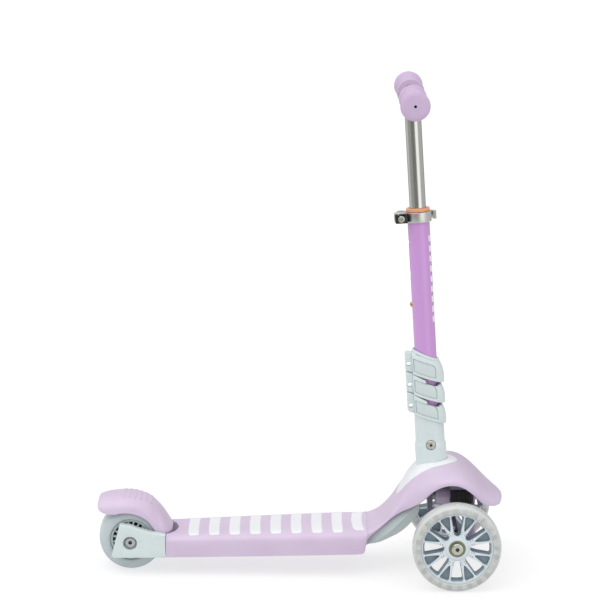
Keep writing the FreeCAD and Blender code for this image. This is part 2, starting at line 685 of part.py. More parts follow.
def slanted_slab(s, thick, x_from):
    """Slab across the sleeve that slopes down to the front, from x_from forward. s is its height at x = 0."""
    slab = box((x_from, -60, -thick / 2), (80, 60, thick / 2))
    slab.rotate(Vector(0, 0, 0), Y_AXIS, SLANT)
    slab.translate(Vector(0, 0, s))
    return slab


def claw_sleeve():
    """Mint sleeve of three sloping claws that wrap the tube from behind, for a seat or a bag."""
    sleeve = up(SLEEVE_R, 40, 200).cut(up(TUBE_R + 0.05, 0, 250)).cut(up(SOCKET_R + 0.1, 0, SOCKET_TOP + 0.2))
    sleeve = sleeve.cut(slanted_slab(SLEEVE_LOW + 3 - 30, 60, -90))
    sleeve = sleeve.cut(slanted_slab(SLEEVE_TOP - 13 + 30, 60, -90))
    for s in (96.5, 126.0):
        sleeve = sleeve.cut(slanted_slab(s + 6, 8.0, 0.0)).cut(slanted_slab(s + 6, 1.4, -40.0))
    spine = up(SLEEVE_R - 2, 70, 170).cut(up(TUBE_R + 0.05, 0, 250)).common(box((-40, -16, 60), (-8, 16, 180)))
    # the back is flat, so that a pin can pass through the fin's holes from either side
    sleeve = sleeve.fuse(spine).cut(box((-60, -60, 0), (SLEEVE_BACK_X, 60, 300)))
    return on_stem(sleeve)


def flange_blank():
    low, high = 78.0, 168.0
    return box((-29.0, -5.0, low), (SLEEVE_BACK_X, 5.0, high))


def accessory_flange():
    """Fin on the back of the sleeve with three cross holes."""
    fin = fillet_where(flange_blank(), 4.0, lambda e: e.BoundBox.YLength > 5 and e.BoundBox.XMax < -28)
    for s in FLANGE_HOLES:
        fin = fin.cut(cylinder(FLANGE_HOLE_R, (FLANGE_HOLE_X, -10, s), (0, 1, 0), 20))
    return on_stem(fin)


# ---------------------------------------------------------------- clamp at the top of the tube
CLAMP_LOW, CLAMP_HIGH = 346.5, 360.5
CLAMP_MIDDLE = (CLAMP_LOW + CLAMP_HIGH) / 2
CLAMP_X = -23.5           # clamp screw and lever pin, behind the stem
LEVER_Y = 14.0


def clamp_collar():
    """Split aluminium collar with two ears behind."""
    ring = up(18.0, CLAMP_LOW, CLAMP_HIGH)
    ears = box((-33, -8, CLAMP_LOW + 1), (-12, 8, CLAMP_HIGH - 1))
    whole = fuse(ring, ears).cut(up(TUBE_R + 0.03, 0, 500))
    whole = whole.cut(box((-50, -1.2, 300), (-10, 1.2, 400)))
    return on_stem(whole.cut(cylinder(2.6, (CLAMP_X, -30, CLAMP_MIDDLE), (0, 1, 0), 60)))


def clamp_block():
    """Black seat for the clamp screw's head, on the rider's right."""
    block = box((-32, -18, CLAMP_LOW + 0.5), (-15, -8.1, CLAMP_HIGH - 0.5))
    block = fillet_where(block, 2.0, lambda e: e.BoundBox.ZLength > 5 and e.BoundBox.YMax < -17)
    block = block.cut(up(18.2, 300, 400))
    return on_stem(block.cut(cylinder(2.6, (CLAMP_X, -30, CLAMP_MIDDLE), (0, 1, 0), 60)))


def clamp_screw():
    """Screw through both ears, with an eye for the lever's pin."""
    screw = button_bolt(4.6, 2.6, 2.5, (CLAMP_X, -18.1, CLAMP_MIDDLE), (0, 1, 0), 28.0)
    eye = up(4.2, CLAMP_MIDDLE - 2.5, CLAMP_MIDDLE + 2.5, CLAMP_X, LEVER_Y)
    return on_stem(fuse(screw, eye).cut(up(2.0, 300, 400, CLAMP_X, LEVER_Y)))


def lever_pin():
    return on_stem(up(2.0, CLAMP_LOW + 0.2, CLAMP_HIGH - 0.2, CLAMP_X, LEVER_Y))


def clamp_lever():
    """Quick-release lever: a forked cam on the pin and an arm that lies round the collar's left side."""
    cam = up(5.4, CLAMP_LOW + 0.8, CLAMP_HIGH - 0.8, CLAMP_X, LEVER_Y)
    outer, inner = 24.5, 21.5
    band = up(outer, CLAMP_LOW + 1.5, CLAMP_HIGH - 1.5).cut(up(inner, 0, 500))
    band = band.common(box((-20, 9, 300), (22, 40, 400)))
    bridge = box((CLAMP_X, LEVER_Y + 0.5, CLAMP_LOW + 1.5), (-12, LEVER_Y + 5.4, CLAMP_HIGH - 1.5))
    bridge = bridge.cut(up(inner, 0, 500))
    tip = box((19.5, 4, CLAMP_LOW + 1.5), (25, 12.5, CLAMP_HIGH - 1.5)).cut(up(inner, 0, 500))
    whole = fuse(cam, band, bridge, tip)
    whole = whole.cut(up(2.0 + RUN, 300, 400, CLAMP_X, LEVER_Y))
    fork = box((-40, 8.0, CLAMP_MIDDLE - 3), (CLAMP_X + 5.6, LEVER_Y + 6, CLAMP_MIDDLE + 3))
    return on_stem(whole.cut(fork))


def mast_bush():
    """Copper-coloured bush in the tube's mouth, with a collar on top: the mast slides in it."""
    sleeve, collar = up(TUBE_BORE, TUBE_TOP - 22, TUBE_TOP + 0.5), up(16.2, TUBE_TOP + 0.05, TUBE_TOP + 4.5)
    return on_stem(fuse(sleeve, collar).cut(up(MAST_R + RUN, 0, 500)))


# ---------------------------------------------------------------- handlebar
MAST_LOW = 112.0
CROSSBAR_R = 11.0
GRIP_INNER = 34.0         # inner end of a grip
PLUG_R = CROSSBAR_R - 2.0


def mast():
    pipe = up(MAST_R, MAST_LOW, BAR_HEIGHT).cut(up(MAST_R - MAST_WALL, 0, 600))
    pipe = pipe.cut(cylinder(CROSSBAR_R, (0, -50, BAR_HEIGHT), (0, 1, 0), 100))
    pipe = pipe.cut(cylinder(4.3, (-30, 0, BUTTON_S), (1, 0, 0), 30))
    return on_stem(max(pipe.Solids, key=lambda s: s.Volume))


def mast_guide():
    """Nylon guide on the mast's foot that runs in the outer tube."""
    return on_stem(fuse(up(TUBE_BORE - RUN, MAST_LOW - 6, MAST_LOW - 0.05),
                        up(MAST_R - MAST_WALL - 0.02, MAST_LOW - 6, MAST_LOW + 14)))


def crossbar():
    length = 2 * (BAR_HALF - 5)
    bar = tube(CROSSBAR_R, PLUG_R, (0, -length / 2, BAR_HEIGHT), (0, 1, 0), length)
    return on_stem(bar)


def grip(side):
    """Ribbed lilac grip with a round flange at each end; the outer end is domed shut."""
    y0, y1 = GRIP_INNER, BAR_HALF
    profile = [(y0, CROSSBAR_R + 0.05), (y0, 18.5), (y0 + 4, 19.0), (y0 + 6, 15.5)]
    ribs = 9
    pitch = (y1 - 18 - y0 - 8) / ribs
    for i in range(ribs):
        a = y0 + 8 + pitch * i
        profile += [(a, 14.4), (a + 0.35 * pitch, 15.6), (a + 0.65 * pitch, 15.6)]
    profile += [(y1 - 16, 14.6), (y1 - 11, 18.0), (y1 - 7, 19.8), (y1 - 3.5, 19.8), (y1 - 1.2, 17.0)]
    profile += [(y1, 12.0), (y1, 2.0), (y1 - 4.9, 2.0), (y1 - 4.9, CROSSBAR_R + 0.05)]
    body = revolve([(side * a, r) for a, r in profile], (0, 0, BAR_HEIGHT))
    return on_stem(body)


def bar_end_plugs():
    """Dark plugs in the crossbar's ends, seen through the small hole in each grip."""
    plugs = [cylinder(PLUG_R - 0.02, (0, side * (BAR_HALF - 15), BAR_HEIGHT), (0, side, 0), 9.9)
             for side in (1, -1)]
    return on_stem(group(plugs))


def snap_button():
    """Brass button in the mast that catches in the outer tube's holes: it sticks out behind the stem."""
    pin = cylinder(4.0, (-18.0, 0, BUTTON_S), (1, 0, 0), 9.5)
    rim = [e for e in pin.Edges if isinstance(e.Curve, Part.Circle) and e.BoundBox.XMax < -17]
    return on_stem(pin.makeFillet(2.2, rim))


save("deck_and_hood", deck_and_hood())
save("deck_grip_bars", group(deck_bars(0)))
save("under_shell", under_shell())
save("head_cap", head_cap())
save("rear_bracket", rear_bracket())
save("rear_axle_bolt", rear_axle_bolt())
save("rear_axle_nut", rear_axle_nut())
save("rear_axle_spacers", rear_axle_spacers())
save("rear_wheel_core", rear_wheel_core())
save("rear_tyre", rear_tyre())
save("rear_bearings", bearings((REAR_AXLE_X, 0, REAR_R), (REAR_HUB_HALF, -REAR_HUB_HALF)))
save("brake_fender", brake_fender())
save("brake_pad", brake_pad())
save("fender_hinge_pins", fender_hinge_pins())
save("fender_springs", fender_springs())
save("truck_bracket", truck_bracket())
save("steering_peg", steering_peg())
save("pivot_shaft", pivot_shaft())
save("truck_beam", truck_beam())
save("roll_rubbers", roll_rubbers())
save("tie_rod", tie_rod())
for name, side in (("left", 1), ("right", -1)):
    save(f"knuckle_{name}", knuckle(side))
    save(f"kingpin_{name}", kingpin(side))
    save(f"front_axle_bolt_{name}", front_axle_bolt(side))
    save(f"front_axle_nut_{name}", front_axle_nut(side))
    save(f"bearing_sleeves_{name}", bearing_sleeves(side))
    save(f"front_wheel_core_{name}", front_wheel_core(side))
    save(f"front_tyre_{name}", front_tyre(side))
    save(f"front_bearings_{name}", front_bearings(side))
    save(f"led_ring_{name}", led_ring(side))
    save(f"grip_{name}", grip(side))
save("stem_socket", stem_socket())
save("socket_bolt", socket_bolt())
save("stem_tube", stem_tube())
save("tube_stripes", tube_stripes())
save("claw_sleeve", claw_sleeve())
save("accessory_flange", accessory_flange())
save("clamp_collar", clamp_collar())
save("clamp_block", clamp_block())
save("clamp_screw", clamp_screw())
save("lever_pin", lever_pin())
save("clamp_lever", clamp_lever())
save("mast_bush", mast_bush())
save("mast", mast())
save("mast_guide", mast_guide())
save("crossbar", crossbar())
save("bar_end_plugs", bar_end_plugs())
save("snap_button", snap_button())
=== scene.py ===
"""Child's three-wheel kick scooter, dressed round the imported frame.

Lengths in the formulas are millimetres in the row frame (+X forward, +Y left, +Z up), and become metres when
a mesh is made. Each piece sits where the frame's own nodes are, and rides on the same body.
"""
import json
import math

import bmesh
import bpy
import numpy as np
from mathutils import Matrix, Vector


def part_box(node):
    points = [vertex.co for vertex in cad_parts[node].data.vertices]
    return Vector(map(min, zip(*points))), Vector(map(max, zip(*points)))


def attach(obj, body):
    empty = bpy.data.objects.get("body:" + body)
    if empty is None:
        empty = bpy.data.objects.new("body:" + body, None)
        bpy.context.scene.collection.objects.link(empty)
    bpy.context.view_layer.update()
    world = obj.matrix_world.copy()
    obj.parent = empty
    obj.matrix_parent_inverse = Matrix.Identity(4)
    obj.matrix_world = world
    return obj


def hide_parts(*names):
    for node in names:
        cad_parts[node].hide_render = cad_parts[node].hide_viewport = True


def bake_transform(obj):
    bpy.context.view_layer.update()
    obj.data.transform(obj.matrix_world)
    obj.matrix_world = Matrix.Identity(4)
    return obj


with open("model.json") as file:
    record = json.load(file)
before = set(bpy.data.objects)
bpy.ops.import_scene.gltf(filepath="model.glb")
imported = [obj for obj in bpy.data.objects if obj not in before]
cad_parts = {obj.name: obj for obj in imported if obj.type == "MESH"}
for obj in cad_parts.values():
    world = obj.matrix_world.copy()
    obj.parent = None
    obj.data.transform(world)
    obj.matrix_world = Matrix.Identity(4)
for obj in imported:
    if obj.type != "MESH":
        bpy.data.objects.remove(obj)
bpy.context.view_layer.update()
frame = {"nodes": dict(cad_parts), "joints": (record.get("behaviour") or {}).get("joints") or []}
JOINTS = {joint["name"]: joint for joint in frame["joints"]}

bl_info = {
    "name": "Kick scooter",
    "version": (1, 0, 0),
    "blender": (4, 5, 0),
    "location": "3D View > Sidebar > Scooter",
    "description": "Builds the shells, wheels, stem and finishes of a child's kick scooter on its frame",
    "category": "Object",
}

# ------------------------------ places from the frame
MM = 0.001


def corners(node):
    """Lowest and highest corner of a frame node, in millimetres."""
    low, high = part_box(node)
    return np.array(low) / MM, np.array(high) / MM


def middle(node):
    low, high = corners(node)
    return (low + high) / 2


def spread(node):
    low, high = corners(node)
    return high - low


SIDES = {"left": 1.0, "right": -1.0}
FRONT_WHEEL = {name: middle(f"front_tyre_{name}") for name in SIDES}
FRONT_RADIUS = spread("front_tyre_left")[2] / 2
TYRE_HALF = spread("front_tyre_left")[1] / 2
REAR_WHEEL = middle("rear_tyre")
REAR_RADIUS = spread("rear_tyre")[2] / 2
REAR_HALF = spread("rear_tyre")[1] / 2
BAR_CENTRE = middle("crossbar")
STEM_UP = np.array(JOINTS["height"]["axis"], float)
STEM_UP /= np.linalg.norm(STEM_UP)
STEM_FORE = np.array([STEM_UP[2], 0.0, -STEM_UP[0]])
BAR_HEIGHT = 519.0                     # crossbar above the stem's base, along the stem
STEM_BASE = BAR_CENTRE - BAR_HEIGHT * STEM_UP


def on_stem(points):
    """Carries points from the upright stem frame (x forward, y left, s up) to the leaning stem."""
    points = np.asarray(points, float)
    turned = points[..., :1] * STEM_FORE + points[..., 1:2] * np.array([0.0, 1.0, 0.0]) + points[...,
                                                                                                 2:] * STEM_UP
    return STEM_BASE + turned


# ------------------------------ grids and meshes
def full_turn(steps):
    """Even angles round a circle, without the last one, which would be the first again."""
    return np.linspace(0, 2 * np.pi, steps, endpoint=False)


def squared(wave, power):
    """sign(w) * |w|^(2 / power): makes the coordinates of a superellipse from cosines and sines."""
    return np.sign(wave) * np.abs(wave) ** (2 / power)


def grid_faces(rows, columns, wrap_rows=False, wrap_columns=False):
    """Quads of a grid of points, row by row, closed in either direction if asked."""
    row = np.arange(rows if wrap_rows else rows - 1)
    column = np.arange(columns if wrap_columns else columns - 1)
    row, column = np.meshgrid(row, column, indexing="ij")
    next_row, next_column = (row + 1) % rows, (column + 1) % columns
    quads = [row * columns + column, next_row * columns + column,
             next_row * columns + next_column, row * columns + next_column]
    return np.stack(quads, -1).reshape(-1, 4)


class Sheets:
    """Collects grids of points into one mesh."""

    def __init__(self):
        self.points = []
        self.faces = []
        self.count = 0

    def add(self, points, wrap_rows=False, wrap_columns=False, cap_rows=False):
        """Adds a grid (rows, columns, 3); cap_rows closes the first and last row with one face each."""
        points = np.asarray(points, float)
        rows, columns = points.shape[:2]
        faces = grid_faces(rows, columns, wrap_rows, wrap_columns) + self.count
        self.faces += faces.tolist()
        if cap_rows:
            first = self.count + np.arange(columns)
            last = self.count + (rows - 1) * columns + np.arange(columns)
            self.faces += [first.tolist(), last[::-1].tolist()]
        self.points.append(points.reshape(-1, 3))
        self.count += rows * columns
        return self

    def build(self, name, sharp=35.0, weld=0.01):
        """Makes the object: welded, faces outwards, smooth but for edges sharper than the angle."""
        mesh = bpy.data.meshes.new(name)
        mesh.from_pydata((np.concatenate(self.points) * MM).tolist(), [], self.faces)
        piece = bpy.data.objects.new(name, mesh)
        bpy.context.scene.collection.objects.link(piece)
        tidy_mesh(mesh, weld * MM, sharp)
        return piece


def tidy_mesh(mesh, weld, sharp):
    """Welds doubles, drops empty faces, turns faces outwards and marks the sharp edges."""
    work = bmesh.new()
    work.from_mesh(mesh)
    bmesh.ops.remove_doubles(work, verts=work.verts, dist=weld)
    bmesh.ops.dissolve_degenerate(work, edges=work.edges, dist=weld)
    bmesh.ops.recalc_face_normals(work, faces=work.faces)
    work.to_mesh(mesh)
    work.free()
    mesh.polygons.foreach_set("use_smooth", np.ones(len(mesh.polygons), bool))
    mesh.set_sharp_from_angle(angle=math.radians(sharp))


def curve_through(knots, x):
    """Smooth curve through (x, value) knots: cubics whose slopes are weighted means of the chords."""
    knots = np.asarray(knots, float)
    kx, kv = knots[:, 0], knots[:, 1:]
    step = np.diff(kx)[:, None]
    chord = np.diff(kv, axis=0) / step
    slope = np.empty_like(kv)
    slope[0], slope[-1] = chord[0], chord[-1]
    before, after = step[:-1], step[1:]
    slope[1:-1] = (chord[:-1] * after + chord[1:] * before) / (before + after)
    x = np.asarray(x, float)
    i = np.clip(np.searchsorted(kx, x, side="right") - 1, 0, len(kx) - 2)
    h = step[i]
    t = ((x - kx[i]) / h[..., 0])[..., None]
    value = (kv[i] * (1 + 2 * t) * (1 - t) ** 2 + slope[i] * h * t * (1 - t) ** 2
             + kv[i + 1] * t * t * (3 - 2 * t) + slope[i + 1] * h * t * t * (t - 1))
    return value


def rounded_outline(points, radius, steps=5):
    """Closed outline (k, 2) with its corners rounded by arcs; radius is one number or one per corner."""
    points = np.asarray(points, float)
    radii = np.broadcast_to(np.asarray(radius, float), len(points))
    outline = []
    for i, corner in enumerate(points):
        back, fore = points[i - 1] - corner, points[(i + 1) % len(points)] - corner
        back_len, fore_len = np.linalg.norm(back), np.linalg.norm(fore)
        back, fore = back / back_len, fore / fore_len
        half = math.acos(np.clip(back @ fore, -1, 1)) / 2
        reach = min(radii[i] / max(math.tan(half), 1e-6), 0.48 * back_len, 0.48 * fore_len)
        r = reach * math.tan(half)
        bisector = (back + fore) / max(np.linalg.norm(back + fore), 1e-9)
        centre = corner + bisector * r / max(math.sin(half), 1e-6)
        start, end = corner + back * reach - centre, corner + fore * reach - centre
        turn = math.atan2(start[0] * end[1] - start[1] * end[0], start @ end)
        angle = np.linspace(0, turn, steps)
        arc = np.stack([start[0] * np.cos(angle) - start[1] * np.sin(angle),
                        start[0] * np.sin(angle) + start[1] * np.cos(angle)], -1) + centre
        outline.append(arc)
    return np.concatenate(outline)


def turned(profile, centre, axis="y", segments=96):
    """Surface of revolution of a profile (along, radius) about an axis through centre: rows go round it."""
    profile = np.asarray(profile, float)
    angle = full_turn(segments)[:, None]
    along = np.broadcast_to(profile[:, 0], (segments, len(profile)))
    side, rise = profile[:, 1] * np.cos(angle), profile[:, 1] * np.sin(angle)
    order = {"y": (side, along, rise), "x": (along, side, rise), "z": (side, rise, along)}[axis]
    return np.stack(order, -1) + np.asarray(centre, float)


def inset(outline, distance):
    """Closed outline moved inwards by a distance, each point along the mean normal of its two sides."""
    along = np.roll(outline, -1, 0) - np.roll(outline, 1, 0)
    along /= np.maximum(np.linalg.norm(along, axis=1, keepdims=True), 1e-9)
    inward = np.stack([-along[:, 1], along[:, 0]], -1)
    turning = np.sum(outline[:, 0] * np.roll(outline[:, 1], -1) - np.roll(outline[:, 0], -1) * outline[:, 1])
    return outline + inward * distance * np.sign(turning)


def evenly(outline, step):
    """The same closed outline with points about one step apart along its sides."""
    closed = np.concatenate([outline, outline[:1]])
    run = np.concatenate([[0], np.cumsum(np.linalg.norm(np.diff(closed, axis=0), axis=1))])
    at = np.unique(np.concatenate([run[:-1], np.arange(0, run[-1], step)]))
    return np.stack([np.interp(at, run, closed[:, 0]), np.interp(at, run, closed[:, 1])], -1)


def rays(outline, centre):
    """Unit vectors from a centre to each point of an outline."""
    away = outline - centre
    return away / np.linalg.norm(away, axis=1, keepdims=True)


def plate(outline, levels, axis="y", centre=(0, 0, 0)):
    """Flat part: the outline at each (height, inset) level, the heights along an axis, as rows of a grid."""
    rows = []
    for height, step in levels:
        u, v = inset(outline, step).T
        h = np.full_like(u, height)
        rows.append(np.stack({"x": (h, u, v), "y": (u, h, v), "z": (u, v, h)}[axis], -1))
    return np.array(rows) + np.asarray(centre, float)


def soft_levels(low, high, r):
    """Levels of a flat part whose two rims are rounded with a radius."""
    curve = [(r, 0.0), (0.45 * r, 0.12 * r), (0.12 * r, 0.45 * r), (0.0, r)]
    return [(low + h, d) for h, d in curve[::-1]] + [(high - h, d) for h, d in curve]


def soft_box(low, high, r=0.8):
    """Box with rounded rims and corners."""
    (x0, y0, z0), (x1, y1, z1) = low, high
    outline = rounded_outline([(x0, z0), (x1, z0), (x1, z1), (x0, z1)], 1.5 * r, 4)
    return plate(outline, soft_levels(y0, y1, r), "y")


def smooth_step(x):
    x = np.clip(x, 0, 1)
    return x * x * (3 - 2 * x)


def solidify(piece, thickness, offset=-1.0):
    """Gives a skin its wall, inwards from the outer face."""
    wall = piece.modifiers.new("wall", "SOLIDIFY")
    wall.thickness = thickness * MM
    wall.offset = offset
    wall.use_even_offset = True
    wall.use_rim = True
    return piece


def round_edges(piece, width, segments=3, angle=40.0):
    """Small even round on every edge sharper than the angle."""
    bevel = piece.modifiers.new("edge_round", "BEVEL")
    bevel.width = width * MM
    bevel.segments = segments
    bevel.limit_method = "ANGLE"
    bevel.angle_limit = math.radians(angle)
    bevel.harden_normals = True
    return piece


# ------------------------------ shader groups
def new_group(name, inputs, outputs):
    """Empty shader group with (name, kind, default) inputs and (name, kind) outputs."""
    group = bpy.data.node_groups.new(name, "ShaderNodeTree")
    for label, kind, default in inputs:
        socket = group.interface.new_socket(label, in_out="INPUT", socket_type=f"NodeSocket{kind}")
        socket.default_value = default
    for label, kind in outputs:
        group.interface.new_socket(label, in_out="OUTPUT", socket_type=f"NodeSocket{kind}")
    return group, group.nodes.new("NodeGroupInput"), group.nodes.new("NodeGroupOutput")


def mix_color(tree, factor, first, second):
    """Mixes two colours; each argument is a socket or a value."""
    node = tree.nodes.new("ShaderNodeMix")
    node.data_type = "RGBA"
    for index, value in ((0, factor), (6, first), (7, second)):
        if isinstance(value, bpy.types.NodeSocket):
            tree.links.new(value, node.inputs[index])
        else:
            node.inputs[index].default_value = value
    return node.outputs[2]


def maths(tree, operation, *values):
    node = tree.nodes.new("ShaderNodeMath")
    node.operation = operation
    for socket, value in zip(node.inputs, values):
        if isinstance(value, bpy.types.NodeSocket):
            tree.links.new(value, socket)
        else:
            socket.default_value = value
    return node.outputs[0]


def object_place(tree):
    return tree.nodes.new("ShaderNodeTexCoord").outputs["Object"]


def noise(tree, place, scale, detail=2.0, roughness=0.5):
    node = tree.nodes.new("ShaderNodeTexNoise")
    tree.links.new(place, node.inputs["Vector"])
    node.inputs["Scale"].default_value = scale
    node.inputs["Detail"].default_value = detail
    node.inputs["Roughness"].default_value = roughness
    return node.outputs["Fac"]


def band(tree, value, low, high, to_low=0.0, to_high=1.0):
    """Maps a value from one range to another, clamped."""
    node = tree.nodes.new("ShaderNodeMapRange")
    tree.links.new(value, node.inputs["Value"])
    for key, number in (("From Min", low), ("From Max", high), ("To Min", to_low), ("To Max", to_high)):
        node.inputs[key].default_value = number
    return node.outputs[0]


def moulded_skin_group():
    """Moulded plastic: faint cloudy tone, fine spark-eroded grain and a few scuffs.

    Tone moves the colour between a darker and a lighter one; Height is the grain; Gloss is the roughness.
    """
    group, put, out = new_group(
        "moulded_skin",
        [("Color", "Color", (0.8, 0.8, 0.8, 1)), ("Shade", "Color", (0.7, 0.7, 0.7, 1)),
         ("Grain Size", "Float", 900.0), ("Roughness", "Float", 0.42), ("Scuffs", "Float", 0.25)],
        [("Color", "Color"), ("Roughness", "Float"), ("Height", "Float")])
    place = object_place(group)
    cloud = band(group, noise(group, place, 14.0, 3.0, 0.6), 0.35, 0.7)
    tint = mix_color(group, maths(group, "MULTIPLY", cloud, 0.55), put.outputs["Color"], put.outputs["Shade"])
    scuff_place = group.nodes.new("ShaderNodeMapping")
    group.links.new(place, scuff_place.inputs["Vector"])
    scuff_place.inputs["Scale"].default_value = (0.25, 1.6, 1.0)
    scuff = band(group, noise(group, scuff_place.outputs[0], 160.0, 6.0, 0.75), 0.62, 0.78)
    scuff = maths(group, "MULTIPLY", scuff, put.outputs["Scuffs"])
    pale = mix_color(group, maths(group, "MULTIPLY", scuff, 0.35), tint, (0.92, 0.90, 0.92, 1))
    grain_node = group.nodes.new("ShaderNodeTexNoise")
    group.links.new(place, grain_node.inputs["Vector"])
    group.links.new(put.outputs["Grain Size"], grain_node.inputs["Scale"])
    grain_node.inputs["Detail"].default_value = 2.0
    grain = grain_node.outputs["Fac"]
    rough = maths(group, "ADD", put.outputs["Roughness"], maths(group, "MULTIPLY", scuff, 0.22))
    rough = maths(group, "ADD", rough, maths(group, "MULTIPLY", maths(group, "SUBTRACT", grain, 0.5), 0.07))
    group.links.new(pale, out.inputs["Color"])
    group.links.new(rough, out.inputs["Roughness"])
    group.links.new(grain, out.inputs["Height"])
    return group


def worked_metal_group():
    """Metal worked in one direction: streaks stretched along one axis, with small patches of tarnish."""
    group, put, out = new_group(
        "worked_metal",
        [("Color", "Color", (0.7, 0.7, 0.7, 1)), ("Tarnish", "Color", (0.4, 0.4, 0.38, 1)),
         ("Stretch", "Vector", (1.0, 1.0, 0.03)), ("Streak Size", "Float", 1500.0),
         ("Roughness", "Float", 0.25), ("Patina", "Float", 0.2)],
        [("Color", "Color"), ("Roughness", "Float"), ("Height", "Float")])
    place = object_place(group)
    stretched = group.nodes.new("ShaderNodeVectorMath")
    stretched.operation = "MULTIPLY"
    group.links.new(place, stretched.inputs[0])
    group.links.new(put.outputs["Stretch"], stretched.inputs[1])
    streak_node = group.nodes.new("ShaderNodeTexNoise")
    group.links.new(stretched.outputs[0], streak_node.inputs["Vector"])
    group.links.new(put.outputs["Streak Size"], streak_node.inputs["Scale"])
    streak_node.inputs["Detail"].default_value = 4.0
    streak = streak_node.outputs["Fac"]
    patch = band(group, noise(group, place, 90.0, 5.0, 0.7), 0.5, 0.75)
    patch = maths(group, "MULTIPLY", patch, put.outputs["Patina"])
    tone = mix_color(group, patch, put.outputs["Color"], put.outputs["Tarnish"])
    dark = mix_color(group, band(group, streak, 0.35, 0.65, 0.10, 0.0), tone, put.outputs["Tarnish"])
    rough = maths(group, "ADD", put.outputs["Roughness"], maths(group, "MULTIPLY", patch, 0.25))
    rough = maths(group, "ADD", rough, band(group, streak, 0.3, 0.7, -0.05, 0.07))
    group.links.new(dark, out.inputs["Color"])
    group.links.new(rough, out.inputs["Roughness"])
    group.links.new(streak, out.inputs["Height"])
    return group


GROUPS = {}


def shared_group(name):
    """Each shader group is built once."""
    makers = {"moulded_skin": moulded_skin_group, "worked_metal": worked_metal_group}
    if name not in GROUPS:
        GROUPS[name] = makers[name]()
    return GROUPS[name]


def new_material(name):
    material = bpy.data.materials.new(name)
    material.use_nodes = True
    tree = material.node_tree
    shader = tree.nodes["Principled BSDF"]
    return material, tree, shader


def place_group(tree, name, **values):
    node = tree.nodes.new("ShaderNodeGroup")
    node.node_tree = shared_group(name)
    for key, value in values.items():
        node.inputs[key.replace("_", " ").title()].default_value = value
    return node


def bump(tree, shader, height, strength, distance):
    node = tree.nodes.new("ShaderNodeBump")
    node.inputs["Strength"].default_value = strength
    node.inputs["Distance"].default_value = distance * MM
    tree.links.new(height, node.inputs["Height"])
    tree.links.new(node.outputs["Normal"], shader.inputs["Normal"])


def srgb(red, green, blue):
    """Linear colour of an 0-255 display colour."""
    level = np.array([red, green, blue]) / 255
    linear = np.where(level <= 0.04045, level / 12.92, ((level + 0.055) / 1.055) ** 2.4)
    return (*linear.tolist(), 1.0)


def tone(color, by):
    return tuple(by * c for c in color[:3]) + (1.0,)


def split(tree, vector):
    node = tree.nodes.new("ShaderNodeSeparateXYZ")
    tree.links.new(vector, node.inputs[0])
    return node.outputs


def distance(tree, a, b):
    """Length of the vector (a, b)."""
    squares = [maths(tree, "MULTIPLY", value, value) for value in (a, b)]
    return maths(tree, "SQRT", maths(tree, "ADD", *squares))


def set_coat(shader, weight, roughness):
    shader.inputs["Coat Weight"].default_value = weight
    shader.inputs["Coat Roughness"].default_value = roughness


def set_scatter(shader, weight, depth):
    """Light passes a little way into the surface; depth is in millimetres."""
    shader.inputs["Subsurface Weight"].default_value = weight
    shader.inputs["Subsurface Radius"].default_value = (1.0, 1.0, 1.0)
    shader.inputs["Subsurface Scale"].default_value = depth * MM


def skinned(name, color, shade, roughness, grain, scuffs, strength, depth):
    """New material with the moulded skin group's roughness and bump, and the group's colour to build on."""
    material, tree, shader = new_material(name)
    skin = place_group(tree, "moulded_skin", color=color, shade=shade, grain_size=grain, roughness=roughness,
                       scuffs=scuffs)
    tree.links.new(skin.outputs["Roughness"], shader.inputs["Roughness"])
    bump(tree, shader, skin.outputs["Height"], strength, depth)
    return material, tree, shader, skin.outputs["Color"]


def moulded_plastic(name, color, shade, roughness=0.42, grain=900.0, scuffs=0.25, coat=0.0, depth=0.05,
                    scatter=0.0):
    """Plastic finish: the moulded skin group on a plain dielectric."""
    material, tree, shader, tint = skinned(name, color, shade, roughness, grain, scuffs, 0.35, depth)
    tree.links.new(tint, shader.inputs["Base Color"])
    set_coat(shader, coat, 0.25)
    if scatter:
        set_scatter(shader, scatter, 3)
    return material


def worked_metal(name, color, tarnish, roughness, stretch=(1.0, 1.0, 0.03), streak=1500.0, patina=0.2):
    """Metal finish: the worked metal group on a conductor."""
    material, tree, shader = new_material(name)
    metal = place_group(tree, "worked_metal", color=color, tarnish=tarnish, stretch=stretch,
                        streak_size=streak,
                        roughness=roughness, patina=patina)
    tree.links.new(metal.outputs["Color"], shader.inputs["Base Color"])
    tree.links.new(metal.outputs["Roughness"], shader.inputs["Roughness"])
    shader.inputs["Metallic"].default_value = 1.0
    bump(tree, shader, metal.outputs["Height"], 0.12, 0.02)
    return material


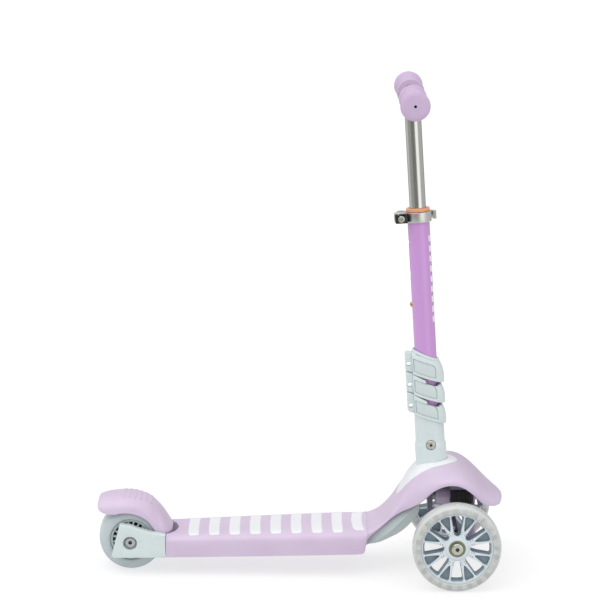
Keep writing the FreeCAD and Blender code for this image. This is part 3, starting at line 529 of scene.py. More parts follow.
# ------------------------------ deck and hood
# x, half width, crown, lower edge, superellipse power of the cross section
HOOD_STATIONS = np.array([
    (-185.0, 52.5, 54.6, 25.2, 7.0),
    (-100.0, 55.8, 58.0, 27.1, 6.6),
    (0.0, 59.7, 61.6, 29.8, 6.4),
    (60.0, 61.9, 63.4, 31.5, 6.4),
    (80.0, 61.9, 63.8, 32.1, 6.4),
    (85.0, 61.5, 63.8, 32.5, 6.4),
    (88.0, 60.9, 63.8, 34.0, 6.4),
    (89.6, 60.4, 63.8, 37.5, 6.4),
    (90.5, 60.0, 63.8, 43.0, 6.3),
    (91.6, 59.4, 63.9, 49.5, 6.1),
    (94.2, 58.0, 63.3, 54.5, 5.6),
    (98.0, 56.2, 65.2, 57.8, 4.5),
    (112.0, 51.5, 73.0, 69.0, 3.4),
    (126.0, 49.5, 89.5, 80.5, 3.0),
    (139.0, 51.0, 111.5, 89.5, 2.7),
    (152.0, 57.0, 131.0, 97.0, 2.5),
    (166.0, 68.0, 143.0, 108.0, 2.5),
    (180.0, 78.0, 149.0, 123.5, 2.5),
    (195.0, 83.0, 151.5, 132.5, 2.5),
    (210.0, 84.0, 152.0, 134.5, 2.5),
    (224.0, 83.0, 148.5, 130.5, 2.5),
    (238.0, 80.0, 140.0, 119.5, 2.4),
    (250.0, 74.0, 129.5, 107.5, 2.3),
    (261.0, 64.0, 119.0, 101.5, 2.2),
    (270.0, 51.0, 111.5, 99.0, 2.1),
    (276.5, 35.0, 106.5, 99.5, 2.0),
    (279.6, 14.0, 104.0, 101.5, 2.0),
])
RECESS_MIDDLE, RECESS_LENGTH, RECESS_HALF = -202.0, 33.5, 42.5
WALL = 3.0


def hood_station(x):
    """Half width, crown, lower edge and power at x, each the smooth curve through its stations."""
    return np.moveaxis(curve_through(HOOD_STATIONS, x), -1, 0)


def hood_height(x, y):
    """Height of the outer face over (x, y): edge + rise * (1 - (|y| / half)^p)^(1/p)."""
    half, crown, edge, power = hood_station(x)
    ratio = np.clip(np.abs(y) / half, 0, 0.999)
    return edge + (crown - edge) * (1 - ratio ** power) ** (1 / power)


def drilled(piece, holes):
    """Cuts round holes: each is (start, end, radius), in millimetres."""
    cutters = Sheets()
    angle = full_turn(48)[:, None]
    for start, end, radius in holes:
        start, end = np.asarray(start, float), np.asarray(end, float)
        along = (end - start) / np.linalg.norm(end - start)
        side = np.cross(along, (0.3, 0.2, 0.93))
        side /= np.linalg.norm(side)
        ring = radius * (np.cos(angle) * side + np.sin(angle) * np.cross(along, side))
        cutters.add(np.stack([start + ring, end + ring]), wrap_columns=True, cap_rows=True)
    tool = cutters.build("hole_cutter")
    cut = piece.modifiers.new("holes", "BOOLEAN")
    cut.operation, cut.solver, cut.object = "DIFFERENCE", "EXACT", tool
    return settle(piece, tool)


def settle(piece, *spent):
    """Applies the piece's modifiers and removes the objects they used."""
    seen = piece.evaluated_get(bpy.context.evaluated_depsgraph_get())
    mesh = bpy.data.meshes.new_from_object(seen, depsgraph=bpy.context.evaluated_depsgraph_get())
    piece.modifiers.clear()
    piece.data = mesh
    for tool in spent:
        bpy.data.objects.remove(tool)
    mesh.polygons.foreach_set("use_smooth", np.ones(len(mesh.polygons), bool))
    mesh.set_sharp_from_angle(angle=math.radians(35))
    return piece


def dome_row(x, half, crown, edge, power, turn):
    """Superellipse arch: y = half * sin(t)^(2/p), z = edge + rise * cos(t)^(2/p), t from -90 to 90."""
    y = half * squared(np.sin(turn), power)
    z = edge + (crown - edge) * np.maximum(np.cos(turn), 0) ** (2 / power)
    return np.stack([np.broadcast_to(x, y.shape), y, z], -1)


def recess_front(y):
    """Front wall of the rear recess at y: an ellipse, and the deck's straight rear end outside it."""
    ratio = np.clip(np.abs(y) / RECESS_HALF, 0, 1)
    ellipse = RECESS_MIDDLE + RECESS_LENGTH * np.sqrt(1 - ratio ** 2)
    return np.maximum(ellipse, HOOD_STATIONS[0, 0])


def deck_and_hood():
    """One skin: superellipse arches along x, the rear rows pulled onto the edge of the fender's recess."""
    rear, front = HOOD_STATIONS[0, 0], HOOD_STATIONS[-1, 0]
    x = np.concatenate([np.linspace(rear, -140, 16)[:-1], np.linspace(-140, 76, 37)[:-1],
                        np.linspace(76, 85, 10)[:-1], np.linspace(85, 96, 34)[:-1],
                        np.linspace(96, 104, 9)[:-1], np.linspace(104, 250, 74)[:-1],
                        250 + (front - 250) * np.sin(np.linspace(0, np.pi / 2, 26))])
    half, crown, edge, power = hood_station(x)
    turn = np.linspace(-np.pi / 2, np.pi / 2, 97)
    skin = dome_row(x[:, None], half[:, None], crown[:, None], edge[:, None], power[:, None], turn[None, :])
    pull = (recess_front(skin[..., 1]) - rear) * (1 - smooth_step((x - rear) / 45))[:, None]
    skin[..., 0] += pull
    piece = Sheets().add(skin).build("deck_and_hood_shell", sharp=50)
    solidify(piece, WALL)
    round_edges(piece, 0.7, 3, 50)
    return piece


def recess_wall():
    """Curved wall round the fender's recess: an upright strip along the recess's edge, 3 mm thick."""
    y = RECESS_HALF * np.sin(np.linspace(-1.02, 1.02, 49))
    x = recess_front(y)
    crown = hood_height(np.full_like(y, HOOD_STATIONS[0, 0] + 8), y)
    foot = np.full_like(y, 27.0)
    section = [np.stack([x + dx, y, z], -1) for dx, z in
               ((0.2, foot), (0.2, crown - 1.6), (3.2, crown - 1.6), (3.2, foot))]
    wall = Sheets().add(np.array(section).swapaxes(0, 1), wrap_columns=True, cap_rows=True)
    return wall.build("recess_wall", sharp=40)


GRIP_BARS = 9
BAR_PITCH = 28.4
BAR_FIRST = -147.0
BAR_WIDTH = 15.0


def grip_bars():
    """Nine rounded bars that follow the deck's face, 0.65 mm proud, with a rolled rim.

    Their plan is |u|^7 + |v|^16 = 1 and bows forward towards both ends: the bow grows with (|y| / half)^3.
    """
    sheets = Sheets()
    turn = full_turn(96)
    u, v = squared(np.cos(turn), 7), squared(np.sin(turn), 16)
    rings = ((1.0, -1.6), (1.0, 0.2), (0.97, 0.45), (0.92, 0.6), (0.85, 0.65), (0.6, 0.66), (0.3, 0.67),
             (0.04, 0.67))
    for i in range(GRIP_BARS):
        last = i == GRIP_BARS - 1
        centre = BAR_FIRST + BAR_PITCH * i
        half_y = hood_station(np.array([centre]))[0][0] - (14.0 if last else 8.5)
        bend = 4.0 if last else 1.6
        rows = []
        for scale, rise in rings:
            step = (1 - scale) * BAR_WIDTH / 2
            dy = v * (half_y - step)
            x = centre + u * (BAR_WIDTH / 2 - step) + bend * (np.abs(dy) / half_y) ** 3 - 0.4 * bend
            rows.append(np.stack([x, dy, hood_height(x, dy) + rise], -1))
        sheets.add(np.array(rows), wrap_columns=True, cap_rows=True)
    return sheets.build("deck_grip_bar_set", sharp=45)


# ------------------------------ head cap and tray
CAP_MIDDLE, CAP_LENGTH, CAP_HALF = 176.0, 42.0, 36.0
SOCKET_RADIUS = 21.0


def head_cap():
    """Skin over the hood: rings from the socket out to an ellipse, with a groove round the socket's foot.

    Its height above the hood is 0.55 + rise * (1 - r^3), where the rise is small in front and larger behind.
    """
    turn = full_turn(160)
    r = np.array([0.0, 0.08, 0.13, 0.17, 0.2, 0.24, 0.3, 0.4, 0.5, 0.6, 0.7, 0.8, 0.88, 0.94, 0.98, 0.995,
                  1.0])[:, None]
    foot = STEM_BASE[0] + 0.3
    inner_x, inner_y = foot + (SOCKET_RADIUS - 3) * np.cos(turn), (SOCKET_RADIUS - 3) * np.sin(turn)
    outer_x, outer_y = CAP_MIDDLE + CAP_LENGTH * np.cos(turn), CAP_HALF * np.sin(turn)
    x, y = inner_x + (outer_x - inner_x) * r, inner_y + (outer_y - inner_y) * r
    ground = hood_height(x, y)
    rise = 5.2 - 3.4 * smooth_step((x - 158) / 36)
    groove = 1.8 * (1 - smooth_step((np.hypot(x - foot, y) - SOCKET_RADIUS - 0.7) / 0.6))
    top = ground + 0.55 + rise * (1 - r ** 3) - groove
    top[-1] -= 0.3
    edge = np.stack([x[-1:], y[-1:], ground[-1:] - 1.2], -1)
    inner = np.stack([x[:1], y[:1], ground[:1] - 1.2], -1)
    whole = np.concatenate([np.stack([x, y, top], -1), edge, inner], 0)
    return Sheets().add(whole, wrap_rows=True, wrap_columns=True).build("head_cap_cover", sharp=40)


# x, lower edge, crease, top edge of the tray's side
TRAY_STATIONS = np.array([
    (90.5, 40.0, 41.5, 50.0), (97.0, 40.6, 44.2, 57.5), (110.0, 43.2, 51.0, 70.0), (124.0, 49.6, 60.5, 81.0),
    (138.0, 57.2, 74.0, 91.0), (149.0, 66.5, 86.0, 97.5), (158.0, 77.0, 94.5, 102.0),
    (164.0, 86.0, 99.5, 105.0),
])
TRAY_HALF = 45.5


def neck_tray():
    """Trough under the neck: lower edge, crease and top edge are curves in x; the flank bends at the crease."""
    x = np.linspace(TRAY_STATIONS[0, 0], TRAY_STATIONS[-1, 0], 60)
    low, crease, top = np.moveaxis(curve_through(TRAY_STATIONS, x), -1, 0)
    across = []
    for side in (-1, 1):
        flank = [(TRAY_HALF - 4.5, top), (TRAY_HALF - 1.6, (top + crease) / 2),
                 (TRAY_HALF + 1.0, crease + 0.5),
                 (TRAY_HALF + 0.9, crease - 0.5), (TRAY_HALF - 2.4, (crease + low) / 2),
                 (TRAY_HALF - 5.0, low + 1.4),
                 (TRAY_HALF - 8.0, low), (TRAY_HALF - 20.0, low - 0.2)]
        columns = [np.stack([x, np.full_like(x, side * y), z], -1) for y, z in flank]
        across += columns if side < 0 else columns[::-1]
    piece = Sheets().add(np.stack(across, 1)).build("neck_tray", sharp=14)
    solidify(piece, 2.4)
    return piece


# ------------------------------ fender
# x, half width, crown, lower edge, power
FENDER_STATIONS = np.array([
    (-280.0, 25.0, 94.8, 91.5, 2.5),
    (-278.8, 30.5, 97.4, 88.6, 2.6),
    (-274.8, 35.5, 100.2, 85.2, 2.6),
    (-268.0, 38.6, 102.2, 83.0, 2.7),
    (-258.0, 40.2, 103.9, 82.4, 2.8),
    (-244.0, 40.8, 104.8, 84.6, 2.8),
    (-230.0, 40.8, 103.9, 83.2, 2.8),
    (-218.0, 40.6, 100.8, 78.8, 2.8),
    (-208.0, 40.2, 96.4, 71.0, 2.8),
    (-201.0, 39.2, 91.0, 61.0, 2.7),
    (-195.0, 38.0, 84.9, 54.8, 2.7),
    (-189.0, 37.4, 76.6, 54.2, 2.6),
    (-184.0, 33.0, 68.6, 55.2, 2.5),
    (-179.6, 25.5, 61.6, 55.2, 2.4),
    (-177.0, 15.0, 57.8, 55.2, 2.3),
])


def fender_rows(x, turn, lift=0.0):
    half, crown, edge, power = np.moveaxis(curve_through(FENDER_STATIONS, x), -1, 0)
    return dome_row(x[:, None], half[:, None] + lift, crown[:, None] + lift, edge[:, None], power[:, None],
                    turn[None, :])


def brake_fender():
    """Domed skin of superellipse arches over the rear wheel, closed inwards by its wall."""
    x = np.concatenate([-280 + 12 * (1 - np.cos(np.linspace(0, np.pi / 2, 14)[:-1])),
                        np.linspace(-268, -190, 60)[:-1], np.linspace(-190, -177, 18)])
    piece = Sheets().add(fender_rows(x, np.linspace(-np.pi / 2, np.pi / 2, 81))).build("rear_brake_fender",
                                                                                       sharp=50)
    solidify(piece, 2.6)
    round_edges(piece, 0.8, 3, 50)
    return piece


def fender_ribs():
    """Raised bars across the fender's rear slope, for the rider's heel: arches with a half-round section."""
    sheets = Sheets()
    around = np.linspace(0, 2 * np.pi, 13)[:-1]
    for i in range(6):
        centre = -243.0 + 7.4 * i
        reach = 0.55 - 0.03 * i
        turn = np.linspace(-reach, reach, 25)
        rows = []
        for a in around:
            x = np.array([centre + 1.5 * np.cos(a)])
            rows.append(fender_rows(x, turn, 0.1 + 0.6 * np.sin(a))[0])
        rows = np.array(rows).swapaxes(0, 1)
        sheets.add(rows, wrap_columns=True, cap_rows=True)
    return sheets.build("fender_heel_ribs", sharp=60)


# ------------------------------ rear end
ARM_OUTLINE = [(-185.6, 56.5), (-206, 60.3), (-220, 64.5), (-234, 69.5), (-248, 71.6), (-259.6, 27.5),
               (-257, 24.6), (-185.6, 24.9)]
ARM_INNER, ARM_OUTER = 39.0, 54.0


def rear_arms():
    """Two plates with rounded rims; rings run from the axle's recess out to the plate's outline and back."""
    outline = evenly(rounded_outline(ARM_OUTLINE, [0.6, 20, 20, 20, 2.5, 2.0, 1.5, 0.6], 7), 2.0)
    axle = REAR_WHEEL[[0, 2]]
    away = rays(outline, axle)
    sheets = Sheets()
    for side in SIDES.values():
        rows = [(axle + away * 4.3, 44.4), (axle + away * 9.0, 44.4), (axle + away * 9.6, 45.0),
                (axle + away * 9.6, ARM_OUTER - 0.7), (axle + away * 9.9, ARM_OUTER - 0.2),
                (axle + away * 10.4, ARM_OUTER)]
        rows += [(inset(outline, d), ARM_OUTER - h) for d,
                 h in ((1.0, 0), (0.45, 0.12), (0.12, 0.45), (0, 1.0))]
        rows += [(inset(outline, d), ARM_INNER + h) for d, h in ((0, 1.0), (0.3, 0.3), (1.0, 0))]
        rows += [(axle + away * 4.3, ARM_INNER)]
        grid = [np.stack([ring[:, 0], np.full(len(ring), side * y), ring[:, 1]], -1) for ring, y in rows]
        sheets.add(np.array(grid), wrap_rows=True, wrap_columns=True)
        y0, y1 = sorted((side * 40.2, side * 47.8))
        sheets.add(soft_box((-187, y0, 32.2), (-160.2, y1, 45.8), 1.0), wrap_columns=True, cap_rows=True)
    sheets.add(soft_box((-164.4, -47.9, 32.2), (-160.2, 47.9, 39.8), 0.8), wrap_columns=True, cap_rows=True)
    return sheets.build("rear_axle_arms", sharp=38)


def rear_core():
    """Spool turned about the axle: hub, a middle web and the rim; the ribs are built by rear_ribs."""
    half = REAR_HALF - 3.0
    section = [(-half, 11.2), (-half, 13.2), (-half + 0.8, 14.0), (-3, 14.0), (-3, 24.8), (-half + 0.6, 25.0),
               (-half, 25.6), (-half, 27.3), (-half + 0.7, 28.0)]
    mirrored = [(-a, r) for a, r in section[::-1]]
    seat = [(half - 7, 11.2), (half - 7, 8.0), (-half + 7, 8.0), (-half + 7, 11.2)]
    rings = turned(section + mirrored + seat, REAR_WHEEL, segments=120)
    return Sheets().add(rings, True, True).build("rear_wheel_spool", sharp=32)


def rear_ribs():
    """Thin ribs from the rear hub to its rim, one rounded plate turned about the axle."""
    half = REAR_HALF - 3.0
    sheets, ribs = Sheets(), 20
    outline = rounded_outline([(13.0, -0.9), (25.5, -1.25), (25.5, 1.25), (13.0, 0.9)], 0.3, 2)
    rib = plate(outline, soft_levels(-half + 1.5, half - 1.5, 0.5), "y")
    for i in range(ribs):
        a = 2 * np.pi * (i + 0.5) / ribs
        x, z = rib[..., 0] * np.cos(a) - rib[..., 2] * np.sin(a), rib[..., 0] * np.sin(a) + rib[...,
                                                                                                2] * np.cos(a)
        sheets.add(np.stack([x, rib[..., 1], z], -1) + REAR_WHEEL, wrap_columns=True, cap_rows=True)
    return sheets.build("rear_wheel_ribs", sharp=32)


def rear_roller():
    """Barrel tyre: the radius is a smooth curve over the width, with a shoulder groove each side."""
    half = REAR_HALF
    along = half * np.sin(np.linspace(-1, 1, 61) * np.pi / 2)
    knots = [(0, REAR_RADIUS), (16, 44.35), (24, 42.9), (29, 40.8), (32.2, 37.8), (33.6, 34.4), (half, 31.8)]
    radius = curve_through(knots, np.abs(along))[:, 0]
    groove = 0.35 * np.exp(-((np.abs(along) - 27.6) / 0.5) ** 2)
    outer = list(zip(along, radius - groove))
    side = [(half, 30.6), (half - 0.8, 28.9), (half - 3.0, 28.0)]
    profile = outer + side + [(-a, r) for a, r in side[::-1]]
    rings = turned(profile, REAR_WHEEL, segments=144)
    return Sheets().add(rings, wrap_rows=True, wrap_columns=True).build("rear_roller_tyre", sharp=40)


def brake_shoe_springs():
    """Torsion springs: a helix of radius 4.6 mm round each hinge pin, three turns, with round wire."""
    sheets = Sheets()
    hinge = middle("fender_hinge_pins")
    turn = np.linspace(0, 6 * np.pi, 109)
    around = full_turn(8)
    for side in SIDES.values():
        radius = 4.6 + 0.8 * np.cos(around)[None, :]
        y = side * (40.2 + 3.3 * turn / turn[-1])[:, None] + 0.8 * np.sin(around)[None, :]
        x, z = radius * np.cos(turn)[:, None], radius * np.sin(turn)[:, None]
        grid = np.stack([hinge[0] + x, y, hinge[2] + z], -1)
        sheets.add(grid, wrap_columns=True, cap_rows=True)
    return sheets.build("fender_torsion_springs", sharp=60)


# ------------------------------ front wheels
WINDOWS = 8
WEB_INNER, WEB_OUTER = 17.2, 46.2
WINDOW_EDGE = [(WEB_INNER, 0.0), (17.5, 1.5), (18.6, 3.0), (20.6, 4.1), (24, 5.1), (28, 6.0), (34, 7.1),
               (40, 8.2),
               (43.6, 8.9), (45.2, 8.4), (46.0, 6.6), (WEB_OUTER, 0.0)]
POCKET_EDGE = [(25.6, 0.0), (26.2, 0.75), (29, 1.9), (34, 3.7), (40, 5.5), (43.6, 6.5), (45.2, 6.1),
               (46.0, 4.6),
               (WEB_OUTER, 0.0)]


def edge_angle(knots, r):
    """Half angle of an opening at radius r: its half width, straight between knots, over the radius."""
    knots = np.asarray(knots)
    half = np.interp(r, knots[:, 0], knots[:, 1], left=0, right=0)
    return np.arctan2(half, r)


def spoke_faces(side):
    """Both faces and the window walls of a wheel's web, one half sector (22.5 degrees) at a time.

    Rows are radii; columns run from a window's edge to a pocket's middle. The face is a height y(r, column): flat
    on the ribs, rounded at the window's edge, and sunk to the pocket's floor over a short steep wall.
    """
    r = np.unique(np.concatenate([np.array(WINDOW_EDGE)[:, 0], np.array(POCKET_EDGE)[:, 0],
                                  np.linspace(WEB_INNER, 19.6, 7), np.linspace(20, 43.6, 22),
                                  np.linspace(43.6, WEB_OUTER, 10)]))
    sector = np.pi / WINDOWS
    window = edge_angle(WINDOW_EDGE, r)[:, None]
    pocket = sector - edge_angle(POCKET_EDGE, r)[:, None]
    open_here = (window > 0) * 1.0
    sunk_here = (pocket < sector - 1e-6) * 1.0
    lip = 0.55 / r[:, None]
    # columns: three on the window's round, two on the rib, four down the pocket's wall, two on its floor
    turn = np.concatenate([
        window, window + 0.12 * lip, window + 0.45 * lip, window + lip,
        (window + pocket) / 2, pocket - lip, pocket - 0.35 * lip, pocket, pocket + 0.25 * lip * sunk_here,
        pocket + 1.2 * lip * sunk_here, (pocket + sector) / 2, np.full_like(window, sector)], 1)
    turn = np.minimum(turn, sector)
    fall = np.array([0.55, 0.25, 0.07, 0.0]) * open_here
    sink = np.array([0.0, 0.0, 0.08, 0.5, 6.2, 7.0, 7.0, 7.0]) * sunk_here
    height = 10.0 - np.concatenate([fall, sink], 1)
    sheets = Sheets()
    rr = np.broadcast_to(r[:, None], turn.shape)
    wall = np.linspace(1, -1, 7)
    inside = (r > WEB_INNER) & (r < WEB_OUTER)
    rows = np.concatenate([[np.flatnonzero(inside)[0] - 1], np.flatnonzero(inside),
                           [np.flatnonzero(inside)[-1] + 1]])
    for i in range(WINDOWS):
        for half in (1, -1):
            a = 2 * sector * i + half * turn
            for face in (1, -1):
                grid = np.stack([rr * np.cos(a), face * height, rr * np.sin(a)], -1)
                sheets.add(grid + FRONT_WHEEL[side])
            # the window's wall draws in towards the middle plane, by 12% of its width and 2.2 mm at the rim
            draw = 1 - wall ** 2
            reach = height[rows, :1] * wall
            edge = 2 * sector * i + half * window[rows] * (1 - 0.12 * draw)
            depth = r[rows, None] - 2.2 * draw * smooth_step((r[rows, None] - 36) / (WEB_OUTER - 36))
            grid = np.stack([depth * np.cos(edge), reach, depth * np.sin(edge)], -1)
            sheets.add(grid + FRONT_WHEEL[side])
    return sheets


def front_core(side):
    """Web with windows and pockets, between a turned hub and a turned rim ring."""
    sheets = spoke_faces(side)
    hub = [(10.0, WEB_INNER), (10.0, 16.4), (10.5, 15.9), (11.6, 15.3), (12.0, 14.7), (12.0, 12.0),
           (11.4, 11.2), (5.0, 11.2),
           (5.0, 8.5)]
    hub = hub + [(-a, r) for a, r in hub[::-1]]
    rim = [(10.0, WEB_OUTER), (10.3, 46.5), (12.6, 46.7), (13.0, 47.0), (13.0, 48.0), (12.0, 48.5)]
    rim = rim + [(-a, r) for a, r in rim[::-1]]
    sheets.add(turned(hub, FRONT_WHEEL[side], segments=192), wrap_rows=True)
    sheets.add(turned(rim, FRONT_WHEEL[side], segments=192), wrap_rows=True)
    return sheets.build(f"front_spoke_core_{side}", sharp=34, weld=0.02)


def rib_dimples(side):
    """Pairs of small dark dots at each rib's root, on both faces: flat domes 0.1 mm proud."""
    sheets = Sheets()
    around = full_turn(12)[None, :]
    rise = np.array([-0.2, 0.06, 0.1, 0.1])[:, None]
    size = np.array([0.62, 0.62, 0.45, 0.1])[:, None]
    for i in range(2 * WINDOWS):
        a = np.pi / WINDOWS * (i + 0.5)
        # the rib leans a little towards its pocket as it leaves the hub
        lean = -0.06 if i % 2 else 0.06
        for r in (20.6, 23.6):
            for across in (-0.85, 0.85):
                cx = r * np.cos(a + lean) - across * np.sin(a)
                cz = r * np.sin(a + lean) + across * np.cos(a)
                for face in (1, -1):
                    x, z = cx + size * np.cos(around), cz + size * np.sin(around)
                    y = np.broadcast_to(face * (10.0 + rise), x.shape)
                    sheets.add(np.stack([x, y, z], -1) + FRONT_WHEEL[side], wrap_columns=True, cap_rows=True)
    return sheets.build(f"rib_dimples_{side}", sharp=50)


TYRE_BLOCKS = 24


def front_tyre(side):
    """Clear tyre: turned section whose walls carry low radial blocks, clipped sine waves of the angle."""
    half, rim = TYRE_HALF, 48.0
    profile = [(-12.0, rim), (-13.2, rim + 0.1), (-14.6, 48.8), (-15.6, 50.2), (-half, 52.2),
               (-half + 0.1, 54.2),
               (-15.4, 56.0), (-14.2, 57.6), (-12.4, 58.8), (-9.8, 59.6), (-6.5, FRONT_RADIUS - 0.05),
               (0, FRONT_RADIUS)]
    profile = np.array(profile + [(-a, r) for a, r in profile[-2::-1]])
    rings = turned(profile, (0, 0, 0), segments=288)
    angle = full_turn(288)[:, None]
    block = np.clip(3.0 * np.sin(TYRE_BLOCKS * angle), -1, 1)
    on_wall = np.exp(-((profile[:, 1] - 53.2) / 3.0) ** 4)
    rings[..., 1] -= np.sign(profile[:, 0]) * 0.16 * on_wall * (1 - block)
    return Sheets().add(rings + FRONT_WHEEL[side], True, True).build(f"front_clear_tyre_{side}", sharp=40)


def light_ring(side):
    """Coil ring between the hub's bearings."""
    low, high = corners(f"led_ring_{side}")
    half, r = (high[1] - low[1]) / 2, (high[2] - low[2]) / 2
    profile = [(-half, r - 1.8), (-half, r - 0.4), (-half + 0.4, r), (half - 0.4, r), (half, r - 0.4),
               (half, r - 1.8)]
    return Sheets().add(turned(profile, (low + high) / 2, segments=64), True, True).build(f"hub_coil_{side}",
                                                                                          sharp=40)


def sealed_bearing(sheets, centre, half, out):
    """Bearing: outer race, sunk shield and inner race, the shield towards out (+1 or -1 along y)."""
    section = [(-half, 11.0), (half - 0.5, 11.0), (half, 10.6), (half, 9.3), (half - 0.5, 9.1),
               (half - 0.5, 7.0),
               (half - 0.1, 6.8), (half - 0.1, 5.7), (half, 5.6), (half, 4.6), (half - 0.4, 4.15),
               (-half, 4.15)]
    profile = [(out * a, r) for a, r in section]
    return sheets.add(turned(profile, centre, segments=96), wrap_rows=True, wrap_columns=True)


def wheel_bearings(node, name):
    """The two bearings of a wheel, one at each end of the node's box."""
    low, high = corners(node)
    sheets, half = Sheets(), 3.5
    for out, y in ((-1, low[1] + half), (1, high[1] - half)):
        centre = ((low[0] + high[0]) / 2, y, (low[2] + high[2]) / 2)
        sealed_bearing(sheets, centre, half, out)
    return sheets.build(name, sharp=30)


# ------------------------------ truck
def roll_cushions():
    """Two cushions with 24 narrow flutes, radius = mean - 1.3 * |cos(12 a)|^3, rounded at both rims."""
    low, high = corners("roll_rubbers")
    r0 = (high[0] - low[0]) / 2
    angle = full_turn(192)
    flute = 0.25 - 1.3 * np.abs(np.cos(12 * angle)) ** 3
    sheets = Sheets()
    for y in (high[1] - r0, low[1] + r0):
        rows = []
        rim = ((0.0, 2.5), (0.15, 1.2), (0.8, 0.35))
        levels = [(low[2] + lift, shrink) for lift, shrink in rim]
        levels += [(z, 0.0) for z in np.linspace(low[2] + 2, high[2] - 2, 8)]
        levels += [(high[2] - lift, shrink) for lift, shrink in rim[::-1]]
        for z, shrink in levels:
            r = r0 - 0.25 - shrink + flute * (shrink < 1)
            rows.append(np.stack([(low[0] + high[0]) / 2 + r * np.cos(angle), y + r * np.sin(angle),
                                  np.full_like(angle, z)], -1))
        sheets.add(np.array(rows), wrap_columns=True, cap_rows=True)
    return sheets.build("fluted_roll_cushions", sharp=40)


# ------------------------------ stem
TUBE_RADIUS = 15.0
TUBE_TOP = 361.0
TUBE_FOOT = -5.0
BUTTON_HOLES = (231.7, 274.7, 317.7)
BUTTON_HOLE_RADIUS = 4.3
SOCKET_BOLT_UP = 36.5
BAR_LOWEST = 211.0
SLOPE = math.tan(math.radians(20))


def stem_turned(profile, segments=96, power=2.0, axis="z", centre=(0, 0, 0)):
    """Turned about the stem (or an axis across it); power above 2 squares the section off."""
    if axis != "z":
        return on_stem(turned(profile, centre, axis, segments))
    profile = np.asarray(profile, float)
    angle = full_turn(segments)[:, None]
    x, y = squared(np.cos(angle), power) * profile[:, 1], squared(np.sin(angle), power) * profile[:, 1]
    return on_stem(np.stack([x, y, np.broadcast_to(profile[:, 0], x.shape)], -1) + np.asarray(centre, float))


def socket():
    """Socket at the stem's foot: slightly squared section that narrows above the bolt, open at the top."""
    profile = [(-22, 15.6), (-22, 20.9), (0, 21.0), (22, 21.4), (32, 21.6), (35, 21.5), (38.5, 20.3),
               (40, 20.1),
               (80, 20.0), (80, 15.5), (-5, 15.3)]
    # the foot is cut level with the bracket's plate
    grid = stem_turned(profile, 144, 2.35)
    floor = corners("truck_bracket")[1][2] - 9.6
    grid[..., 2] = np.maximum(grid[..., 2], floor)
    piece = Sheets().add(grid, wrap_rows=True, wrap_columns=True).build("stem_foot_socket", sharp=40)
    seats = [(on_stem((0, y * 18.4, SOCKET_BOLT_UP)), on_stem((0, y * 40, SOCKET_BOLT_UP)),
              7.0) for y in SIDES.values()]
    return drilled(piece, seats)


def tube():
    """Painted tube with three button holes behind."""
    profile = [(TUBE_FOOT, 13.5), (TUBE_FOOT, TUBE_RADIUS), (TUBE_TOP - 0.5, TUBE_RADIUS),
               (TUBE_TOP, TUBE_RADIUS - 0.4),
               (TUBE_TOP, 13.6)]
    piece = Sheets().add(stem_turned(profile, 128), wrap_rows=True, wrap_columns=True).build("painted_tube",
                                                                                             sharp=40)
    holes = [(on_stem((-30, 0, s)), on_stem((-8, 0, s)), BUTTON_HOLE_RADIUS) for s in BUTTON_HOLES]
    return drilled(piece, holes)


def tube_bars(count, pitch):
    """Plain bars printed thick on the tube's front: patches of the tube's surface, lifted 0.3 mm."""
    sheets = Sheets()
    outline = rounded_outline([(-9.6, -4.1), (9.6, -4.1), (9.6, 4.1), (-9.6, 4.1)], 1.4, 5)
    outline = evenly(outline, 0.8)
    # (lift above the tube, inset, share of the height kept): the last rings close onto the bar's middle line
    rings = ((-0.3, 0.0, 0.0), (-0.3, 0.0, 1.0), (0.2, 0.0, 1.0), (0.28, 0.12, 1.0), (0.3, 0.4, 1.0),
             (0.3, 0.4, 0.5),
             (0.3, 0.4, 0.0))
    for i in range(count):
        rows = []
        for lift, step, share in rings:
            y, s = inset(outline, step).T
            turn, r = y / TUBE_RADIUS, TUBE_RADIUS + lift
            rows.append(on_stem(np.stack([r * np.cos(turn), r * np.sin(turn),
                                          BAR_LOWEST + pitch * i + share * s], -1)))
        sheets.add(np.array(rows), wrap_columns=True)
    return sheets.build("tube_front_bars", sharp=40)


CLAWS = 3
CLAW_TOP = 159.0
CLAW_EDGES = (72.0, 100.6, 129.6, CLAW_TOP)     # lower edges, and the top one's upper edge
CLAW_BACK = -19.2
CLAW_POWER = 2.3                                # superellipse power of the section
CLAW_NARROW = 0.965                             # its width over its depth
CLAW_RIM = 1.1
TOP_CLAW_GAP = 1.3
PANEL_FRONT = 12.5
PANEL_SHORT = 2.5                               # the panels' height leaves this much of the pitch out
PANEL_FLANK = 13.5                              # panels lie further out than this


def claw_gap(x):
    """Gap over a claw: a slit that widens forwards, with a notch over the tube's front half."""
    notch = smooth_step((x + 3.5) / 3.0) * (1 - smooth_step((x - 12.0) / 6.5))
    return 0.9 + 1.6 * smooth_step((x + 18) / 16) + 4.4 * notch


def claw_panel(x, up, height):
    """Signed distance to a rounded panel on the flank, negative inside; up is above the claw's lower edge."""
    cx, cy = (CLAW_BACK + 1.2 + PANEL_FRONT) / 2, height / 2
    hx, hy = (PANEL_FRONT - CLAW_BACK - 1.2) / 2, height / 2 - 4.1
    # the upper front corner is rounder than the rest
    r = np.where((x > cx) & (up > cy), 6.5, 1.6)
    qx, qy = np.abs(x - cx) - hx + r, np.abs(up - cy) - hy + r
    return np.minimum(np.maximum(qx, qy), 0) + np.hypot(np.maximum(qx, 0), np.maximum(qy, 0)) - r


